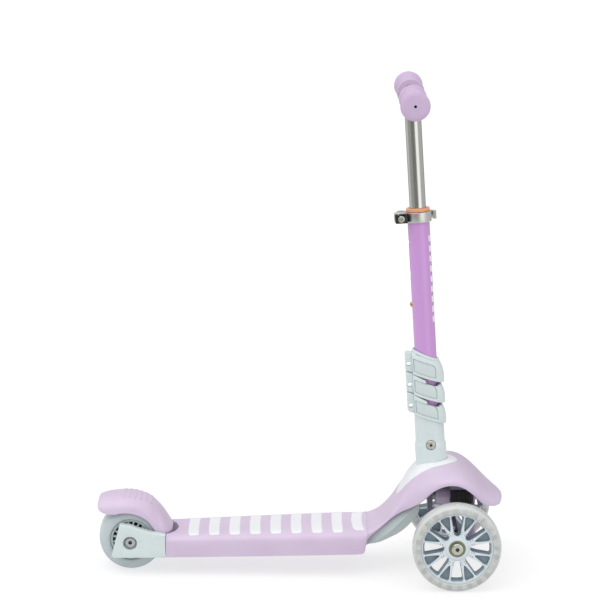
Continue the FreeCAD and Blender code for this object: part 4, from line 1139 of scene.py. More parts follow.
def claw(index):
    """One claw: a band round the tube between two sloping edges, flared to the foot at its front.

    Columns go round the stem; the section is a superellipse cut flat behind. Rows climb from the lower to the
    upper edge, and the flank inside claw_panel is sunk.
    """
    turn = full_turn(288)
    climb = np.concatenate([np.linspace(0, 0.12, 10)[:-1], np.linspace(0.12, 0.88, 46)[:-1],
                            np.linspace(0.88, 1, 12)])
    c = np.cos(turn)
    x_unit, y_unit = squared(c, CLAW_POWER), squared(np.sin(turn), CLAW_POWER)
    t = climb[:, None]
    lean_in = np.where(c > 0, 5.2 * c ** 2, 0.9 * np.ones_like(c))
    body = 23.5 - lean_in * t ** 3.4 + 0.5 * np.sin(np.pi * t)
    # both rims roll in by a quarter round
    low, high = CLAW_EDGES[index:index + 2]
    pitch = high - low
    roll = np.minimum(t, 1 - t) * (pitch - 4)
    r = body - CLAW_RIM * (1 - np.sqrt(1 - (1 - np.clip(roll / CLAW_RIM, 0, 1)) ** 2))
    x = np.maximum(r * x_unit, CLAW_BACK)
    y = CLAW_NARROW * r * y_unit
    up = t * (pitch - (TOP_CLAW_GAP if high == CLAW_TOP else claw_gap(x)))
    edge = claw_panel(x, up, pitch - PANEL_SHORT)
    side = smooth_step((np.abs(y) - 12) / 4)
    sunk = side * (1.25 * smooth_step(-edge / 0.5) + 0.45 * np.exp(-((edge + 0.55) / 0.35) ** 2))
    y = y - np.sign(y) * sunk
    outer = np.stack([x, y, low - SLOPE * x + up], -1)
    # the inner wall, 3 mm in (2.6 mm behind), has only a few of the rows
    r_in = body - 3.0
    xi = np.maximum(r_in * x_unit, CLAW_BACK + 2.6)
    inner = np.stack([xi, CLAW_NARROW * r_in * y_unit, low - SLOPE * x + up], -1)[[-1, 54, 30, 9, 0]]
    return np.concatenate([outer, inner])


def mark_panels(piece):
    """Point attribute panel_edge: signed distance to the nearest claw_panel on the flank, in millimetres."""
    place = np.empty(3 * len(piece.data.vertices))
    piece.data.vertices.foreach_get("co", place)
    away = place.reshape(-1, 3) / MM - STEM_BASE
    x, s = away @ STEM_FORE, away @ STEM_UP
    far = 5.0
    edge = np.full(len(away), far)
    for low, high in zip(CLAW_EDGES, CLAW_EDGES[1:]):
        edge = np.minimum(edge, claw_panel(x, s - low + SLOPE * x, high - low - PANEL_SHORT))
    edge = np.where(np.abs(away[:, 1]) > PANEL_FLANK, edge, far)
    piece.data.attributes.new("panel_edge", "FLOAT", "POINT").data.foreach_set("value",
                                                                               edge.astype(np.float32))
    return piece


def claw_set():
    """Three claws on a flat-backed spine, and the collar round the tube above them."""
    sheets = Sheets()
    for index in range(CLAWS):
        sheets.add(on_stem(claw(index)), wrap_rows=True, wrap_columns=True)
    spine = rounded_outline([(CLAW_BACK + 0.6, -13), (-13.2, -13), (-13.2, 13), (CLAW_BACK + 0.6, 13)], 1.0,
                            3)
    sheets.add(on_stem(plate(spine, soft_levels(75, 165, 0.6), "z")), wrap_columns=True, cap_rows=True)
    turn = full_turn(144)
    radius, drop = np.array([(15.3, 8.0), (15.3, -0.6), (15.8, -2.8), (16.6, -3.4), (17.6, -3.2),
                             (18.2, -2.2), (18.4, 2.0),
                             (18.4, 8.0)]).T[..., None]
    x = radius * np.cos(turn)
    rows = np.stack([x, radius * np.sin(turn), CLAW_TOP - drop - 1.3 * SLOPE * x], -1)
    sheets.add(on_stem(rows), wrap_rows=True, wrap_columns=True)
    return sheets.build("stem_claw_sleeve", sharp=38)


LUG_HOLES = (90.0, 119.5, 149.0)
LUG_HOLE_X, LUG_BACK, LUG_HALF = -24.0, -28.9, 4.9


def accessory_lugs():
    """Three sloping lugs behind the claws, each with a through hole whose rim is rounded."""
    sheets = Sheets()
    for i, s in enumerate(LUG_HOLES):
        x0, x1 = LUG_BACK, CLAW_BACK + 0.9
        low, high = CLAW_EDGES[i], CLAW_EDGES[i + 1] - TOP_CLAW_GAP
        corner = [(x0, low - SLOPE * x0), (x1, low - SLOPE * x1), (x1, high - SLOPE * x1),
                  (x0, high - SLOPE * x0)]
        outline = evenly(rounded_outline(corner, [5.0 if i == 0 else 1.2, 0.5, 0.5, 5.0 if i == 2 else 1.2],
                                         7), 1.2)
        centre = np.array([LUG_HOLE_X, s])
        away = rays(outline, centre)
        rows = []
        for sign in (1, -1):
            y = sign * LUG_HALF
            ring = [(centre + away * 3.2, y - 0.5 * sign), (centre + away * 3.35, y - 0.12 * sign),
                    (centre + away * 3.8, y),
                    (inset(outline, 0.9), y), (inset(outline, 0.15), y - 0.4 * sign),
                    (outline, y - 1.0 * sign)]
            rows += ring if sign > 0 else ring[::-1]
        grid = [np.stack([p[:, 0], np.full(len(p), h), p[:, 1]], -1) for p, h in rows]
        sheets.add(on_stem(np.array(grid)), wrap_rows=True, wrap_columns=True)
    return sheets.build("accessory_lugs", sharp=38)


# ------------------------------ clamp and handlebar
MAST_RADIUS = 11.2


def height_button():
    """Round-nosed button behind the tube, turned about its own axis across the stem."""
    profile = [(-8.6, 0.0), (-8.6, 3.9), (-15.2, 3.9), (-16.4, 3.2), (-17.6, 1.7), (-18.0, 0.9), (-18.1, 0.0)]
    grid = stem_turned(profile, 48, axis="x", centre=(0, 0, BUTTON_HOLES[0]))
    return Sheets().add(grid, wrap_rows=True).build("height_snap_button", sharp=50)


def bush():
    """Copper-coloured bush: a thin sleeve with a rolled collar."""
    profile = [(TUBE_TOP - 20, 11.3), (TUBE_TOP - 20, 13.4), (TUBE_TOP + 0.1, 13.4), (TUBE_TOP + 0.1, 15.8),
               (TUBE_TOP + 0.5, 16.2), (TUBE_TOP + 3.4, 16.2), (TUBE_TOP + 4.2, 15.8), (TUBE_TOP + 4.5, 15.0),
               (TUBE_TOP + 4.5, 12.0), (TUBE_TOP + 4.1, 11.3)]
    return Sheets().add(stem_turned(profile), True, True).build("mast_collar_bush", sharp=35)


def collar():
    """Split band clamp: a ring with rounded rims whose ends turn back into two ears."""
    low, high, gap = 346.5, 360.5, 1.3
    outer, inner = 18.0, 15.05
    sheets = Sheets()
    reach = math.asin(gap / inner)
    turn = np.linspace(np.pi + reach, 3 * np.pi - reach, 121)
    section = rounded_outline([(inner, low), (outer, low), (outer, high), (inner, high)], 0.7, 4)
    grid = np.stack([np.outer(np.cos(turn), section[:, 0]), np.outer(np.sin(turn), section[:, 0]),
                     np.broadcast_to(section[:, 1], (len(turn), len(section)))], -1)
    sheets.add(on_stem(grid), wrap_columns=True, cap_rows=True)
    for side in SIDES.values():
        y0, y1 = sorted((side * gap, side * 7.9))
        ear = soft_box((-32.8, y0, low + 1), (-15.2, y1, high - 1), 0.9)
        sheets.add(on_stem(ear), wrap_columns=True, cap_rows=True)
    return sheets.build("clamp_band", sharp=35)


def screw_seat():
    """Black seat under the screw's head: rounded block with two notches across its top edge."""
    sheets = Sheets()
    outline = [(-31.9, 347.2), (-15.2, 347.2), (-15.2, 359.8), (-18.2, 359.8), (-18.8, 358.6), (-20.6, 358.6),
               (-21.2, 359.8),
               (-25.8, 359.8), (-26.4, 358.6), (-28.2, 358.6), (-28.8, 359.8), (-31.9, 359.8)]
    outline = evenly(rounded_outline(outline, [1.6, 0.6, 0.6] + [0.3] * 8 + [1.6], 4), 1.5)
    sheets.add(on_stem(plate(outline, soft_levels(-17.9, -8.2, 0.8), "y")), wrap_columns=True, cap_rows=True)
    return sheets.build("clamp_screw_seat", sharp=35)


def mast_tube():
    low, high = 112.0, 512.0
    profile = [(low, 9.7), (low, MAST_RADIUS), (high, MAST_RADIUS), (high, 9.7)]
    piece = Sheets().add(stem_turned(profile, 128), True, True).build("polished_mast", sharp=40)
    hole = BUTTON_HOLES[0]
    return drilled(piece, [(on_stem((-30, 0, hole)), on_stem((-5, 0, hole)), BUTTON_HOLE_RADIUS)])


def weld_bead():
    """Weld where the mast meets the crossbar: a bead along the curve where the two cylinders cross."""
    bar, mast = 11.0, MAST_RADIUS
    turn = full_turn(160)
    x, y = mast * np.cos(turn), mast * np.sin(turn)
    z = BAR_HEIGHT - np.sqrt(np.maximum(bar ** 2 - np.minimum(np.abs(x), bar) ** 2, 0))
    line = np.stack([x, y, z], -1)
    around = full_turn(10)
    out = np.stack([np.cos(turn), np.sin(turn), np.zeros_like(turn)], -1)
    size = (1.15 + 0.12 * np.sin(40 * turn))[:, None, None]
    grid = line[:, None] + size * (np.cos(around)[None, :, None] * out[:, None]
                                   + np.sin(around)[None, :, None] * np.array([0, 0, 1.0]))
    return Sheets().add(on_stem(grid), True, True).build("crossbar_weld", sharp=60)


def cross_tube():
    half = spread("crossbar")[1] / 2
    profile = [(-half, 9.2), (-half, 10.6), (-half + 0.4, 11.0), (half - 0.4, 11.0), (half, 10.6),
               (half, 9.2)]
    return Sheets().add(stem_turned(profile, 96, axis="y", centre=(0, 0, BAR_HEIGHT)), True, True).build(
        "handlebar_crossbar", sharp=40)


GRIP_INNER, GRIP_OUTER = 34.0, 127.5


def grip_body(side, ribs):
    """Soft grip: a waisted body with rounded ribs, a disc flange inside and a round knob at the end.

    The radius is a smooth curve over the length, with a groove of 0.8 * exp(-(d / 0.8)^2) at distance d from
    the middle between two ribs. Twelve shallow flutes run along the waist: radius * (1 - 0.03 * |cos(6 a)|^8).
    """
    knots = [(GRIP_INNER + 1.6, 18.8), (GRIP_INNER + 3.2, 19.0), (GRIP_INNER + 4.8, 18.2),
             (GRIP_INNER + 6.6, 15.6),
             (GRIP_INNER + 9, 14.7), (60, 15.3), (80, 15.5), (98, 15.0), (108.5, 14.6), (112, 15.2),
             (116, 17.9),
             (120, 19.7), (122.6, 20.0), (124.6, 19.3), (126.2, 16.8), (127.1, 12.0), (GRIP_OUTER, 2.0)]
    along = np.concatenate([np.linspace(GRIP_INNER + 1.6, 108, 120)[:-1],
                            108 + 19.5 * np.sin(np.linspace(0, np.pi / 2, 44))])
    radius = curve_through(knots, along)[:, 0]
    start, end = GRIP_INNER + 9.5, 107.0
    pitch = (end - start) / ribs
    inside = smooth_step((along - start) / 2) * (1 - smooth_step((along - end + 2) / 2))
    groove = np.exp(-((((along - start) / pitch) % 1 - 0.5) * pitch / 0.8) ** 2)
    profile = [(GRIP_INNER, 11.2), (GRIP_INNER, 18.0), (GRIP_INNER + 0.5, 18.5)]
    profile += list(zip(along, radius - 0.8 * groove * inside))
    profile += [(GRIP_OUTER - 3, 2.0), (GRIP_OUTER - 4.8, 11.2)]
    grid = turned(np.array(profile) * (side, 1), (0, 0, 0), segments=120)
    angle = full_turn(120)[:, None]
    rows = np.array(profile)[:, 0]
    waist = smooth_step((rows - 52) / 6) * (1 - smooth_step((rows - 92) / 6))
    flute = 1 - 0.03 * waist * np.abs(np.cos(6 * angle)) ** 8
    grid[..., 0] *= flute
    grid[..., 2] *= flute
    return on_stem(grid + (0, 0, BAR_HEIGHT))


def grips(side, ribs):
    name = f"soft_grip_{side}"
    return Sheets().add(grip_body(SIDES[side], ribs), wrap_rows=True, wrap_columns=True).build(name, sharp=40)


# ------------------------------ finishes
def spoke_plastic(name, pale, dark, offset, reach):
    """Wheel core plastic: pale on its faces, and darker where it is sunk below them: painted shade in the pockets
    and windows, on the front cores partly the plastic's own darker tone as well.

    Depth is the distance along y from the wheel's middle plane, which lies offset from the scooter's middle.
    """
    material, tree, shader, tint = skinned(name, pale, tone(pale, 0.93), 0.38, 1200.0, 0.12, 0.3, 0.04)
    y = split(tree, object_place(tree))["Y"]
    depth = maths(tree, "ABSOLUTE", maths(tree, "SUBTRACT", maths(tree, "ABSOLUTE", y), offset * MM))
    # painted shade: whatever is sunk below the faces takes the dark colour
    sunk = band(tree, depth, (reach - 1.6) * MM, (reach - 0.35) * MM, 1.0, 0.0)
    tree.links.new(mix_color(tree, sunk, tint, dark), shader.inputs["Base Color"])
    return material


def panelled_plastic(name, face, panel, seam_shade):
    """Moulded plastic with painted shade from the panel_edge attribute: its sunk panels are darker, and a dark
    line is painted along the groove round them.
    """
    material, tree, shader, tint = skinned(name, face, tone(face, 0.93), 0.36, 1300.0, 0.18, 0.35, 0.05)
    edge = tree.nodes.new("ShaderNodeAttribute")
    edge.attribute_name = "panel_edge"
    # painted shade: the sunk panels take a darker mint
    inside = band(tree, edge.outputs["Fac"], -0.2, -0.7)
    tint = mix_color(tree, inside, tint, panel)
    # painted shade: a dark line along the groove round each panel
    groove = band(tree, maths(tree, "ABSOLUTE", maths(tree, "ADD", edge.outputs["Fac"], 0.45)), 0.15, 0.55,
                  0.75, 0.0)
    tree.links.new(mix_color(tree, groove, tint, seam_shade), shader.inputs["Base Color"])
    return material


def socket_steel(name, color, tarnish, centre, radius, floor):
    """Bolt steel with painted shade in its hex socket: dark within a radius of the axis and deeper than the
    head's face.

    The axis runs along y through centre; floor is the distance of the painted shade's upper limit from y = 0.
    """
    material = worked_metal(name, color, tarnish, 0.26, (1.0, 1.0, 1.0), 600.0, 0.3)
    tree = material.node_tree
    shader = tree.nodes["Principled BSDF"]
    x, y, z = split(tree, object_place(tree))
    dx, dz = (maths(tree, "SUBTRACT", value, at * MM) for value, at in zip((x, z), centre))
    near = band(tree, distance(tree, dx, dz), radius * MM, (radius + 0.3) * MM, 1.0, 0.0)
    deep = band(tree, maths(tree, "ABSOLUTE", y), (floor - 0.5) * MM, floor * MM, 0.92, 0.0)
    # painted shade: dark steel mixed into the hex socket, where the recess lies in shade
    bare_steel = shader.inputs["Base Color"].links[0].from_socket
    socket_shade = mix_color(tree, maths(tree, "MULTIPLY", near, deep), bare_steel, srgb(52, 54, 50))
    tree.links.new(socket_shade, shader.inputs["Base Color"])
    return material


def clear_tyre_plastic(name, pale, dark):
    """Clear urethane over a blocked inner ring: bands of the angle round the axle, broken up by noise."""
    material, tree, shader = new_material(name)
    wheel = FRONT_WHEEL["left"]
    centred = tree.nodes.new("ShaderNodeMapping")
    centred.inputs["Location"].default_value = (-wheel[0] * MM, 0, -wheel[2] * MM)
    place = object_place(tree)
    tree.links.new(place, centred.inputs["Vector"])
    away = split(tree, centred.outputs[0])
    x, z = away["X"], away["Z"]
    angle = maths(tree, "ARCTAN2", z, x)
    radius = distance(tree, x, z)
    block = band(tree, maths(tree, "SINE", maths(tree, "MULTIPLY", angle, float(TYRE_BLOCKS))), -0.35, 0.25)
    cells = noise(tree, place, 55.0, 2.0, 0.5)
    block = maths(tree, "MULTIPLY", block, band(tree, cells, 0.35, 0.6, 0.35, 1.0))
    wall = maths(tree, "MULTIPLY", band(tree, radius, 0.0493, 0.0503), band(tree, radius, 0.0573, 0.0563))
    shade = maths(tree, "MULTIPLY", block, wall)
    lump = band(tree, noise(tree, place, 210.0, 3.0, 0.6), 0.40, 0.68, 0.0, 0.45)
    shade = maths(tree, "MAXIMUM", maths(tree, "MULTIPLY", shade, 0.8), maths(tree, "MULTIPLY", lump, wall))
    foot = band(tree, radius, 0.0490, 0.0497, 0.55, 0.0)
    shade = maths(tree, "MAXIMUM", shade, foot)
    tree.links.new(mix_color(tree, shade, pale, dark), shader.inputs["Base Color"])
    tree.links.new(band(tree, cells, 0.3, 0.7, 0.16, 0.30), shader.inputs["Roughness"])
    bump(tree, shader, noise(tree, place, 700.0, 2.0), 0.15, 0.04)
    set_scatter(shader, 0.35, 4)
    set_coat(shader, 0.5, 0.12)
    return material


def make_finishes(look):
    """One material for each of the record's slots; the user's colours come from the look settings."""
    lilac, mint, purple, grip = (tuple(c) + (1.0,) for c in (look.lilac, look.mint, look.purple, look.grip))
    white = srgb(246, 246, 248)
    return {
        "deck_plastic": moulded_plastic("lilac_deck_shell", lilac,
                                        (0.90 * lilac[0], 0.84 * lilac[1], 0.92 * lilac[2], 1),
                                        0.40, 1300.0, 0.22, 0.12, 0.05, 0.12),
        "mint_plastic": moulded_plastic("mint_shell", mint, tone(mint, 0.93), 0.36, 1300.0, 0.18, 0.15, 0.05,
                                        0.10),
        # front cores: the sunk slate is partly the core's own two-tone, partly painted shade in pockets and
        # windows
        "wheel_core": spoke_plastic("front_spoke_plastic", tuple(look.core) + (1.0,), srgb(146, 164, 172),
                                    122.0, 10.0),
        # rear spool: the near-black sunk colour is painted shadow deep between its ribs
        "rear_core": spoke_plastic("rear_spool_plastic", srgb(212, 220, 222), srgb(38, 44, 48), 0.0, 31.0),
        "clear_tyre": clear_tyre_plastic("clear_blocked_tyre", srgb(208, 211, 208), srgb(172, 176, 174)),
        "rear_tyre": moulded_plastic("rear_roller_urethane", srgb(200, 210, 213), srgb(178, 190, 195), 0.34,
                                     800.0, 0.5,
                                     0.15, 0.05, 0.15),
        "grip_rubber": moulded_plastic("soft_grip_rubber", grip, tone(grip, 0.9), 0.52, 1800.0, 0.15, 0.0,
                                       0.06, 0.12),
        "black_rubber": moulded_plastic("black_cushion_rubber", srgb(24, 22, 24), srgb(40, 37, 38), 0.55,
                                        900.0, 0.4,
                                        0.0, 0.08),
        "stem_paint": moulded_plastic("purple_tube_paint", purple, tone(purple, 0.96), 0.27, 1800.0, 0.0, 0.5,
                                      0.0005),
        "polished_steel": worked_metal("polished_mast_steel", srgb(204, 205, 200), srgb(136, 136, 130), 0.13,
                                       patina=0.05),
        "zinc_steel": worked_metal("zinc_plated_steel", srgb(206, 210, 190), srgb(120, 122, 100), 0.30,
                                   (1.0, 1.0, 1.0), 500.0, 0.45),
        "bearing_steel": worked_metal("bearing_steel", srgb(150, 152, 122), srgb(88, 88, 66), 0.34,
                                      (1.0, 1.0, 1.0),
                                      700.0, 0.5),
        "aluminium": worked_metal("clamp_aluminium", srgb(212, 213, 207), srgb(150, 150, 144), 0.34,
                                  (1.0, 1.0, 6.0),
                                  900.0, 0.15),
        "copper_bush": moulded_plastic("copper_coloured_bush", srgb(244, 168, 118), srgb(226, 140, 92), 0.34,
                                       700.0, 0.1,
                                       0.2, 0.03),
        "brass": worked_metal("button_brass", srgb(226, 170, 96), srgb(150, 104, 52), 0.26, (1.0, 1.0, 1.0),
                              800.0, 0.3),
        "black_plastic": moulded_plastic("black_seat_plastic", srgb(26, 28, 28), srgb(44, 46, 46), 0.42,
                                         1200.0, 0.4,
                                         0.1, 0.05),
        "white_paint": moulded_plastic("white_bar_paint", white, tone(white, 0.94), 0.35, 900.0, 0.1, 0.2,
                                       0.02),
        "spring_steel": worked_metal("spring_steel", srgb(150, 152, 152), srgb(96, 96, 92), 0.3,
                                     (1.0, 1.0, 1.0), 900.0,
                                     0.2),
        "white_mint": moulded_plastic("white_mint_shell", srgb(240, 242, 245), srgb(230, 234, 238), 0.36,
                                      1300.0, 0.25,
                                      0.15, 0.05, 0.10),
        # claw panels and their groove: darker mints as painted shade
        "claw_mint": panelled_plastic("claw_mint_shell", mint, tone(mint, 0.90), tone(mint, 0.52)),
        # a darker copy of the mint: painted shade on the tray under the neck
        "shaded_tray_mint": moulded_plastic("shaded_tray_mint", tone(mint, 0.84), tone(mint, 0.78), 0.42, 1300.0, 0.2, 0.1,
                                     0.05),
        # dark grey-lilac: painted shade, so the bracket under the hood stays as dark as its shadow
        "shaded_bracket": moulded_plastic("shaded_bracket", srgb(122, 124, 140), srgb(106, 108, 124), 0.38,
                                         900.0, 0.3,
                                         0.1, 0.04),
        "rear_bolt": socket_steel("rear_bolt_steel", srgb(204, 206, 204), srgb(132, 134, 132),
                                  REAR_WHEEL[[0, 2]], 2.95,
                                  48.2),
        "front_bolt": socket_steel("front_bolt_steel", srgb(212, 214, 200), srgb(120, 122, 104),
                                   FRONT_WHEEL["left"][[0, 2]], 2.95, 137.7),
        "stem_bolt": socket_steel("stem_bolt_steel", srgb(212, 212, 200), srgb(124, 124, 108),
                                  on_stem((0, 0, SOCKET_BOLT_UP))[[0, 2]], 2.3, 21.7),
        "dimple": moulded_plastic("dimple_shade", srgb(132, 142, 150), srgb(110, 120, 128), 0.6, 900.0, 0.0),
        "grip_hole": moulded_plastic("grip_hole_plug", srgb(14, 12, 16), srgb(24, 22, 26), 0.7, 900.0, 0.0),
    }


FINISHES = {}


def dress(piece, body, slot, *nodes, finish=None):
    """Gives a piece the material of its finish, or else of its slot, and its body, and hides the frame nodes it
    stands for.

    A pair of bodies attaches the piece to neither: its place is only baked into its mesh.
    """
    piece.data.materials.clear()
    piece.data.materials.append(FINISHES[finish or slot])
    if isinstance(body, tuple):
        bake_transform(piece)
    else:
        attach(piece, body)
    if nodes:
        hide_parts(*nodes)
    return piece


def dress_nodes(slot, *nodes, finish=None, edge=0.0):
    """Puts a material on frame nodes that stay, and rounds their edges if asked."""
    for node in nodes:
        part = frame["nodes"][node]
        part.data.materials.clear()
        part.data.materials.append(FINISHES[finish or slot])
        if edge:
            weld = part.modifiers.new("weld", "WELD")
            weld.merge_threshold = 0.005 * MM
            round_edges(part, edge, 2, 50)


# ------------------------------ settings
def color_setting(name, description, *levels):
    """Colour property whose default is an 0-255 display colour."""
    return bpy.props.FloatVectorProperty(name=name, description=description, default=srgb(*levels)[:3],
                                         subtype="COLOR",
                                         min=0, max=1)


class ScooterLook(bpy.types.PropertyGroup):
    """Colours and counts a user may change before building."""

    lilac: color_setting("Lilac", "Colour of the deck, hood and fender", 216, 199, 222)
    mint: color_setting("Mint", "Colour of the socket, sleeve, cap, tray and rear arms", 218, 230, 230)
    purple: color_setting("Tube", "Paint of the outer stem tube", 206, 154, 218)
    grip: color_setting("Grips", "Colour of the handlebar grips", 206, 182, 214)
    core: color_setting("Wheel core", "Colour of the front wheels' ribs and hub", 222, 231, 238)
    bar_count: bpy.props.IntProperty(
        name="Tube bars", description="Plain bars on the front of the stem tube", default=9, min=1, max=10)
    bar_pitch: bpy.props.FloatProperty(
        name="Tube bar pitch", description="Distance between the plain bars", default=0.014, min=0.01,
        max=0.016,
        subtype="DISTANCE", unit="LENGTH")
    grip_ribs: bpy.props.IntProperty(
        name="Grip ribs", description="Ribs along each grip", default=12, min=4, max=20)


class StageLook(bpy.types.PropertyGroup):
    """Camera, floor and light."""

    lens: bpy.props.FloatProperty(
        name="Lens", description="Focal length on a 36 mm sensor, in millimetres", default=168.6, min=20,
        max=400)
    camera_place: bpy.props.FloatVectorProperty(
        name="Camera place", description="Where the camera stands", default=(0.0, -3.790, 1.0972),
        subtype="TRANSLATION", unit="LENGTH")
    camera_dip: bpy.props.FloatProperty(
        name="Camera dip", description="How far the camera looks down", default=math.radians(10.77),
        subtype="ANGLE",
        unit="ROTATION")
    floor: color_setting("Floor", "Colour of the floor", 160, 160, 161)
    floor_glow: bpy.props.FloatProperty(
        name="Floor glow", description="Light the floor gives off itself", default=0.66, min=0, max=1)
    sky: bpy.props.FloatProperty(
        name="Fill light", description="Strength of the even light from all round", default=0.8, min=0, max=4)
    key: bpy.props.FloatProperty(
        name="Key light", description="Strength of the broad soft light overhead", default=1.1, min=0, max=10)


# ------------------------------ operators
class SCOOTER_OT_finishes(bpy.types.Operator):
    """Makes the materials"""

    bl_idname = "scooter.finishes"
    bl_label = "Finishes"

    def execute(self, context):
        FINISHES.update(make_finishes(context.scene.scooter_look))
        return {"FINISHED"}


class SCOOTER_OT_deck(bpy.types.Operator):
    """Deck and hood moulding with its grip bars, cap and tray"""

    bl_idname = "scooter.deck"
    bl_label = "Deck and hood"

    def execute(self, context):
        dress(deck_and_hood(), "frame", "deck_plastic", "deck_and_hood")
        dress(recess_wall(), "frame", "deck_plastic")
        dress(grip_bars(), "frame", "mint_plastic", "deck_grip_bars", finish="white_mint")
        # the cap takes the bars' whiter mint: partly its own pale tone, partly a painted highlight on its lit top
        dress(head_cap(), "frame", "mint_plastic", "head_cap", finish="white_mint")
        dress(neck_tray(), "frame", "mint_plastic", "under_shell", finish="shaded_tray_mint")
        return {"FINISHED"}


class SCOOTER_OT_rear(bpy.types.Operator):
    """Rear arms, axle, roller and brake fender"""

    bl_idname = "scooter.rear"
    bl_label = "Rear wheel and brake"

    def execute(self, context):
        dress(rear_arms(), "frame", "mint_plastic", "rear_bracket")
        dress(rear_core(), "rear_wheel", "wheel_core", "rear_wheel_core", finish="rear_core")
        dress(rear_ribs(), "rear_wheel", "wheel_core", finish="mint_plastic")
        dress(rear_roller(), "rear_wheel", "rear_tyre", "rear_tyre")
        dress(wheel_bearings("rear_bearings", "rear_sealed_bearings"), "rear_wheel", "bearing_steel",
              "rear_bearings")
        dress(brake_fender(), "brake", "deck_plastic", "brake_fender")
        dress(fender_ribs(), "brake", "deck_plastic")
        dress(brake_shoe_springs(), "frame", "spring_steel", "fender_springs")
        dress_nodes("zinc_steel", "rear_axle_bolt", finish="rear_bolt", edge=0.2)
        dress_nodes("zinc_steel", "rear_axle_nut", "fender_hinge_pins", edge=0.2)
        dress_nodes("zinc_steel", "rear_axle_spacers")
        dress_nodes("spring_steel", "brake_pad")
        return {"FINISHED"}


class SCOOTER_OT_front_wheels(bpy.types.Operator):
    """Front cores, clear tyres, bearings and axle bolts"""

    bl_idname = "scooter.front_wheels"
    bl_label = "Front wheels"

    def execute(self, context):
        for side in SIDES:
            wheel = f"front_wheel_{side}"
            dress(front_core(side), wheel, "wheel_core", f"front_wheel_core_{side}")
            dress(rib_dimples(side), wheel, "wheel_core", finish="dimple")
            dress(front_tyre(side), wheel, "clear_tyre", f"front_tyre_{side}")
            dress(light_ring(side), wheel, "white_paint", f"led_ring_{side}")
            bearings = wheel_bearings(f"front_bearings_{side}", f"front_sealed_bearings_{side}")
            dress(bearings, wheel, "bearing_steel", f"front_bearings_{side}")
            dress_nodes("zinc_steel", f"front_axle_bolt_{side}", finish="front_bolt", edge=0.2)
            dress_nodes("zinc_steel", f"front_axle_nut_{side}", edge=0.2)
            dress_nodes("spring_steel", f"bearing_sleeves_{side}")
        return {"FINISHED"}


class SCOOTER_OT_truck(bpy.types.Operator):
    """Truck beam, knuckles, tie rod and roll cushions"""

    bl_idname = "scooter.truck"
    bl_label = "Truck"

    def execute(self, context):
        dress(roll_cushions(), ("frame", "truck"), "black_rubber", "roll_rubbers")
        dress_nodes("deck_plastic", "truck_beam", "knuckle_left", "knuckle_right", edge=0.8)
        # the bracket gets a darker finish than its metal: painted shade under the hood
        dress_nodes("aluminium", "truck_bracket", finish="shaded_bracket", edge=0.4)
        dress_nodes("zinc_steel", "steering_peg", "pivot_shaft", "kingpin_left", "kingpin_right")
        dress_nodes("black_plastic", "tie_rod", edge=0.4)
        return {"FINISHED"}


class SCOOTER_OT_stem(bpy.types.Operator):
    """Socket, painted tube, claw sleeve and clamp"""

    bl_idname = "scooter.stem"
    bl_label = "Stem"

    def execute(self, context):
        look = context.scene.scooter_look
        dress(socket(), "frame", "mint_plastic", "stem_socket")
        dress(tube(), "frame", "stem_paint", "stem_tube")
        dress(tube_bars(look.bar_count, look.bar_pitch / MM), "frame", "white_paint", "tube_stripes")
        dress(mark_panels(claw_set()), "frame", "mint_plastic", "claw_sleeve", finish="claw_mint")
        dress(accessory_lugs(), "frame", "mint_plastic", "accessory_flange")
        dress(bush(), "frame", "copper_bush", "mast_bush")
        dress(collar(), "frame", "aluminium", "clamp_collar")
        dress(screw_seat(), "frame", "black_plastic", "clamp_block")
        dress_nodes("zinc_steel", "socket_bolt", finish="stem_bolt", edge=0.15)
        dress_nodes("zinc_steel", "clamp_screw", edge=0.15)
        dress_nodes("zinc_steel", "lever_pin")
        dress_nodes("aluminium", "clamp_lever", edge=0.4)
        return {"FINISHED"}


class SCOOTER_OT_handlebar(bpy.types.Operator):
    """Mast, crossbar, grips and height button"""

    bl_idname = "scooter.handlebar"
    bl_label = "Handlebar"

    def execute(self, context):
        look = context.scene.scooter_look
        dress(mast_tube(), "handlebar", "polished_steel", "mast")
        dress(weld_bead(), "handlebar", "polished_steel")
        dress(cross_tube(), "handlebar", "polished_steel", "crossbar")
        for side in SIDES:
            dress(grips(side, look.grip_ribs), "handlebar", "grip_rubber", f"grip_{side}")
        dress_nodes("black_plastic", "bar_end_plugs", finish="grip_hole")
        dress_nodes("black_plastic", "mast_guide")
        dress(height_button(), "height_button", "brass", "snap_button")
        return {"FINISHED"}


class SCOOTER_OT_stage(bpy.types.Operator):
    """Pale floor, soft light and camera"""

    bl_idname = "scooter.stage"
    bl_label = "Stage"

    def execute(self, context):
        build_stage(context.scene, context.scene.scooter_stage)
        return {"FINISHED"}


# azimuth of the reflection screen, as a share of a full turn from +Y, and its level there
SCREEN_LEVELS = ((0.0, 0.3), (0.10, 0.3), (0.14, 0.5), (0.22, 0.5), (0.26, 0.3), (0.385, 0.26), (0.42, 0.16),
                 (0.52, 0.16), (0.55, 0.38), (0.575, 0.95), (0.65, 0.95), (0.68, 0.4), (0.84, 0.4),
                 (0.88, 0.16),
                 (0.95, 0.16), (0.99, 0.46))
SCREEN_GAIN = 1.5
SCREEN_RADIUS, SCREEN_LOW, SCREEN_HIGH = 1600.0, 10.0, 1100.0
FLOOR_HALF = 60000.0
FLOOR_BOUNCE = 0.6                     # share of the floor's glow that anything but the camera sees
# name, turn, spread in degrees and share of the key light
SUNS = (("overhead_light", (0.30, -0.22, 0.0), 70.0, 0.8), ("front_light", (0.95, 0.0, -0.5), 40.0, 0.2))


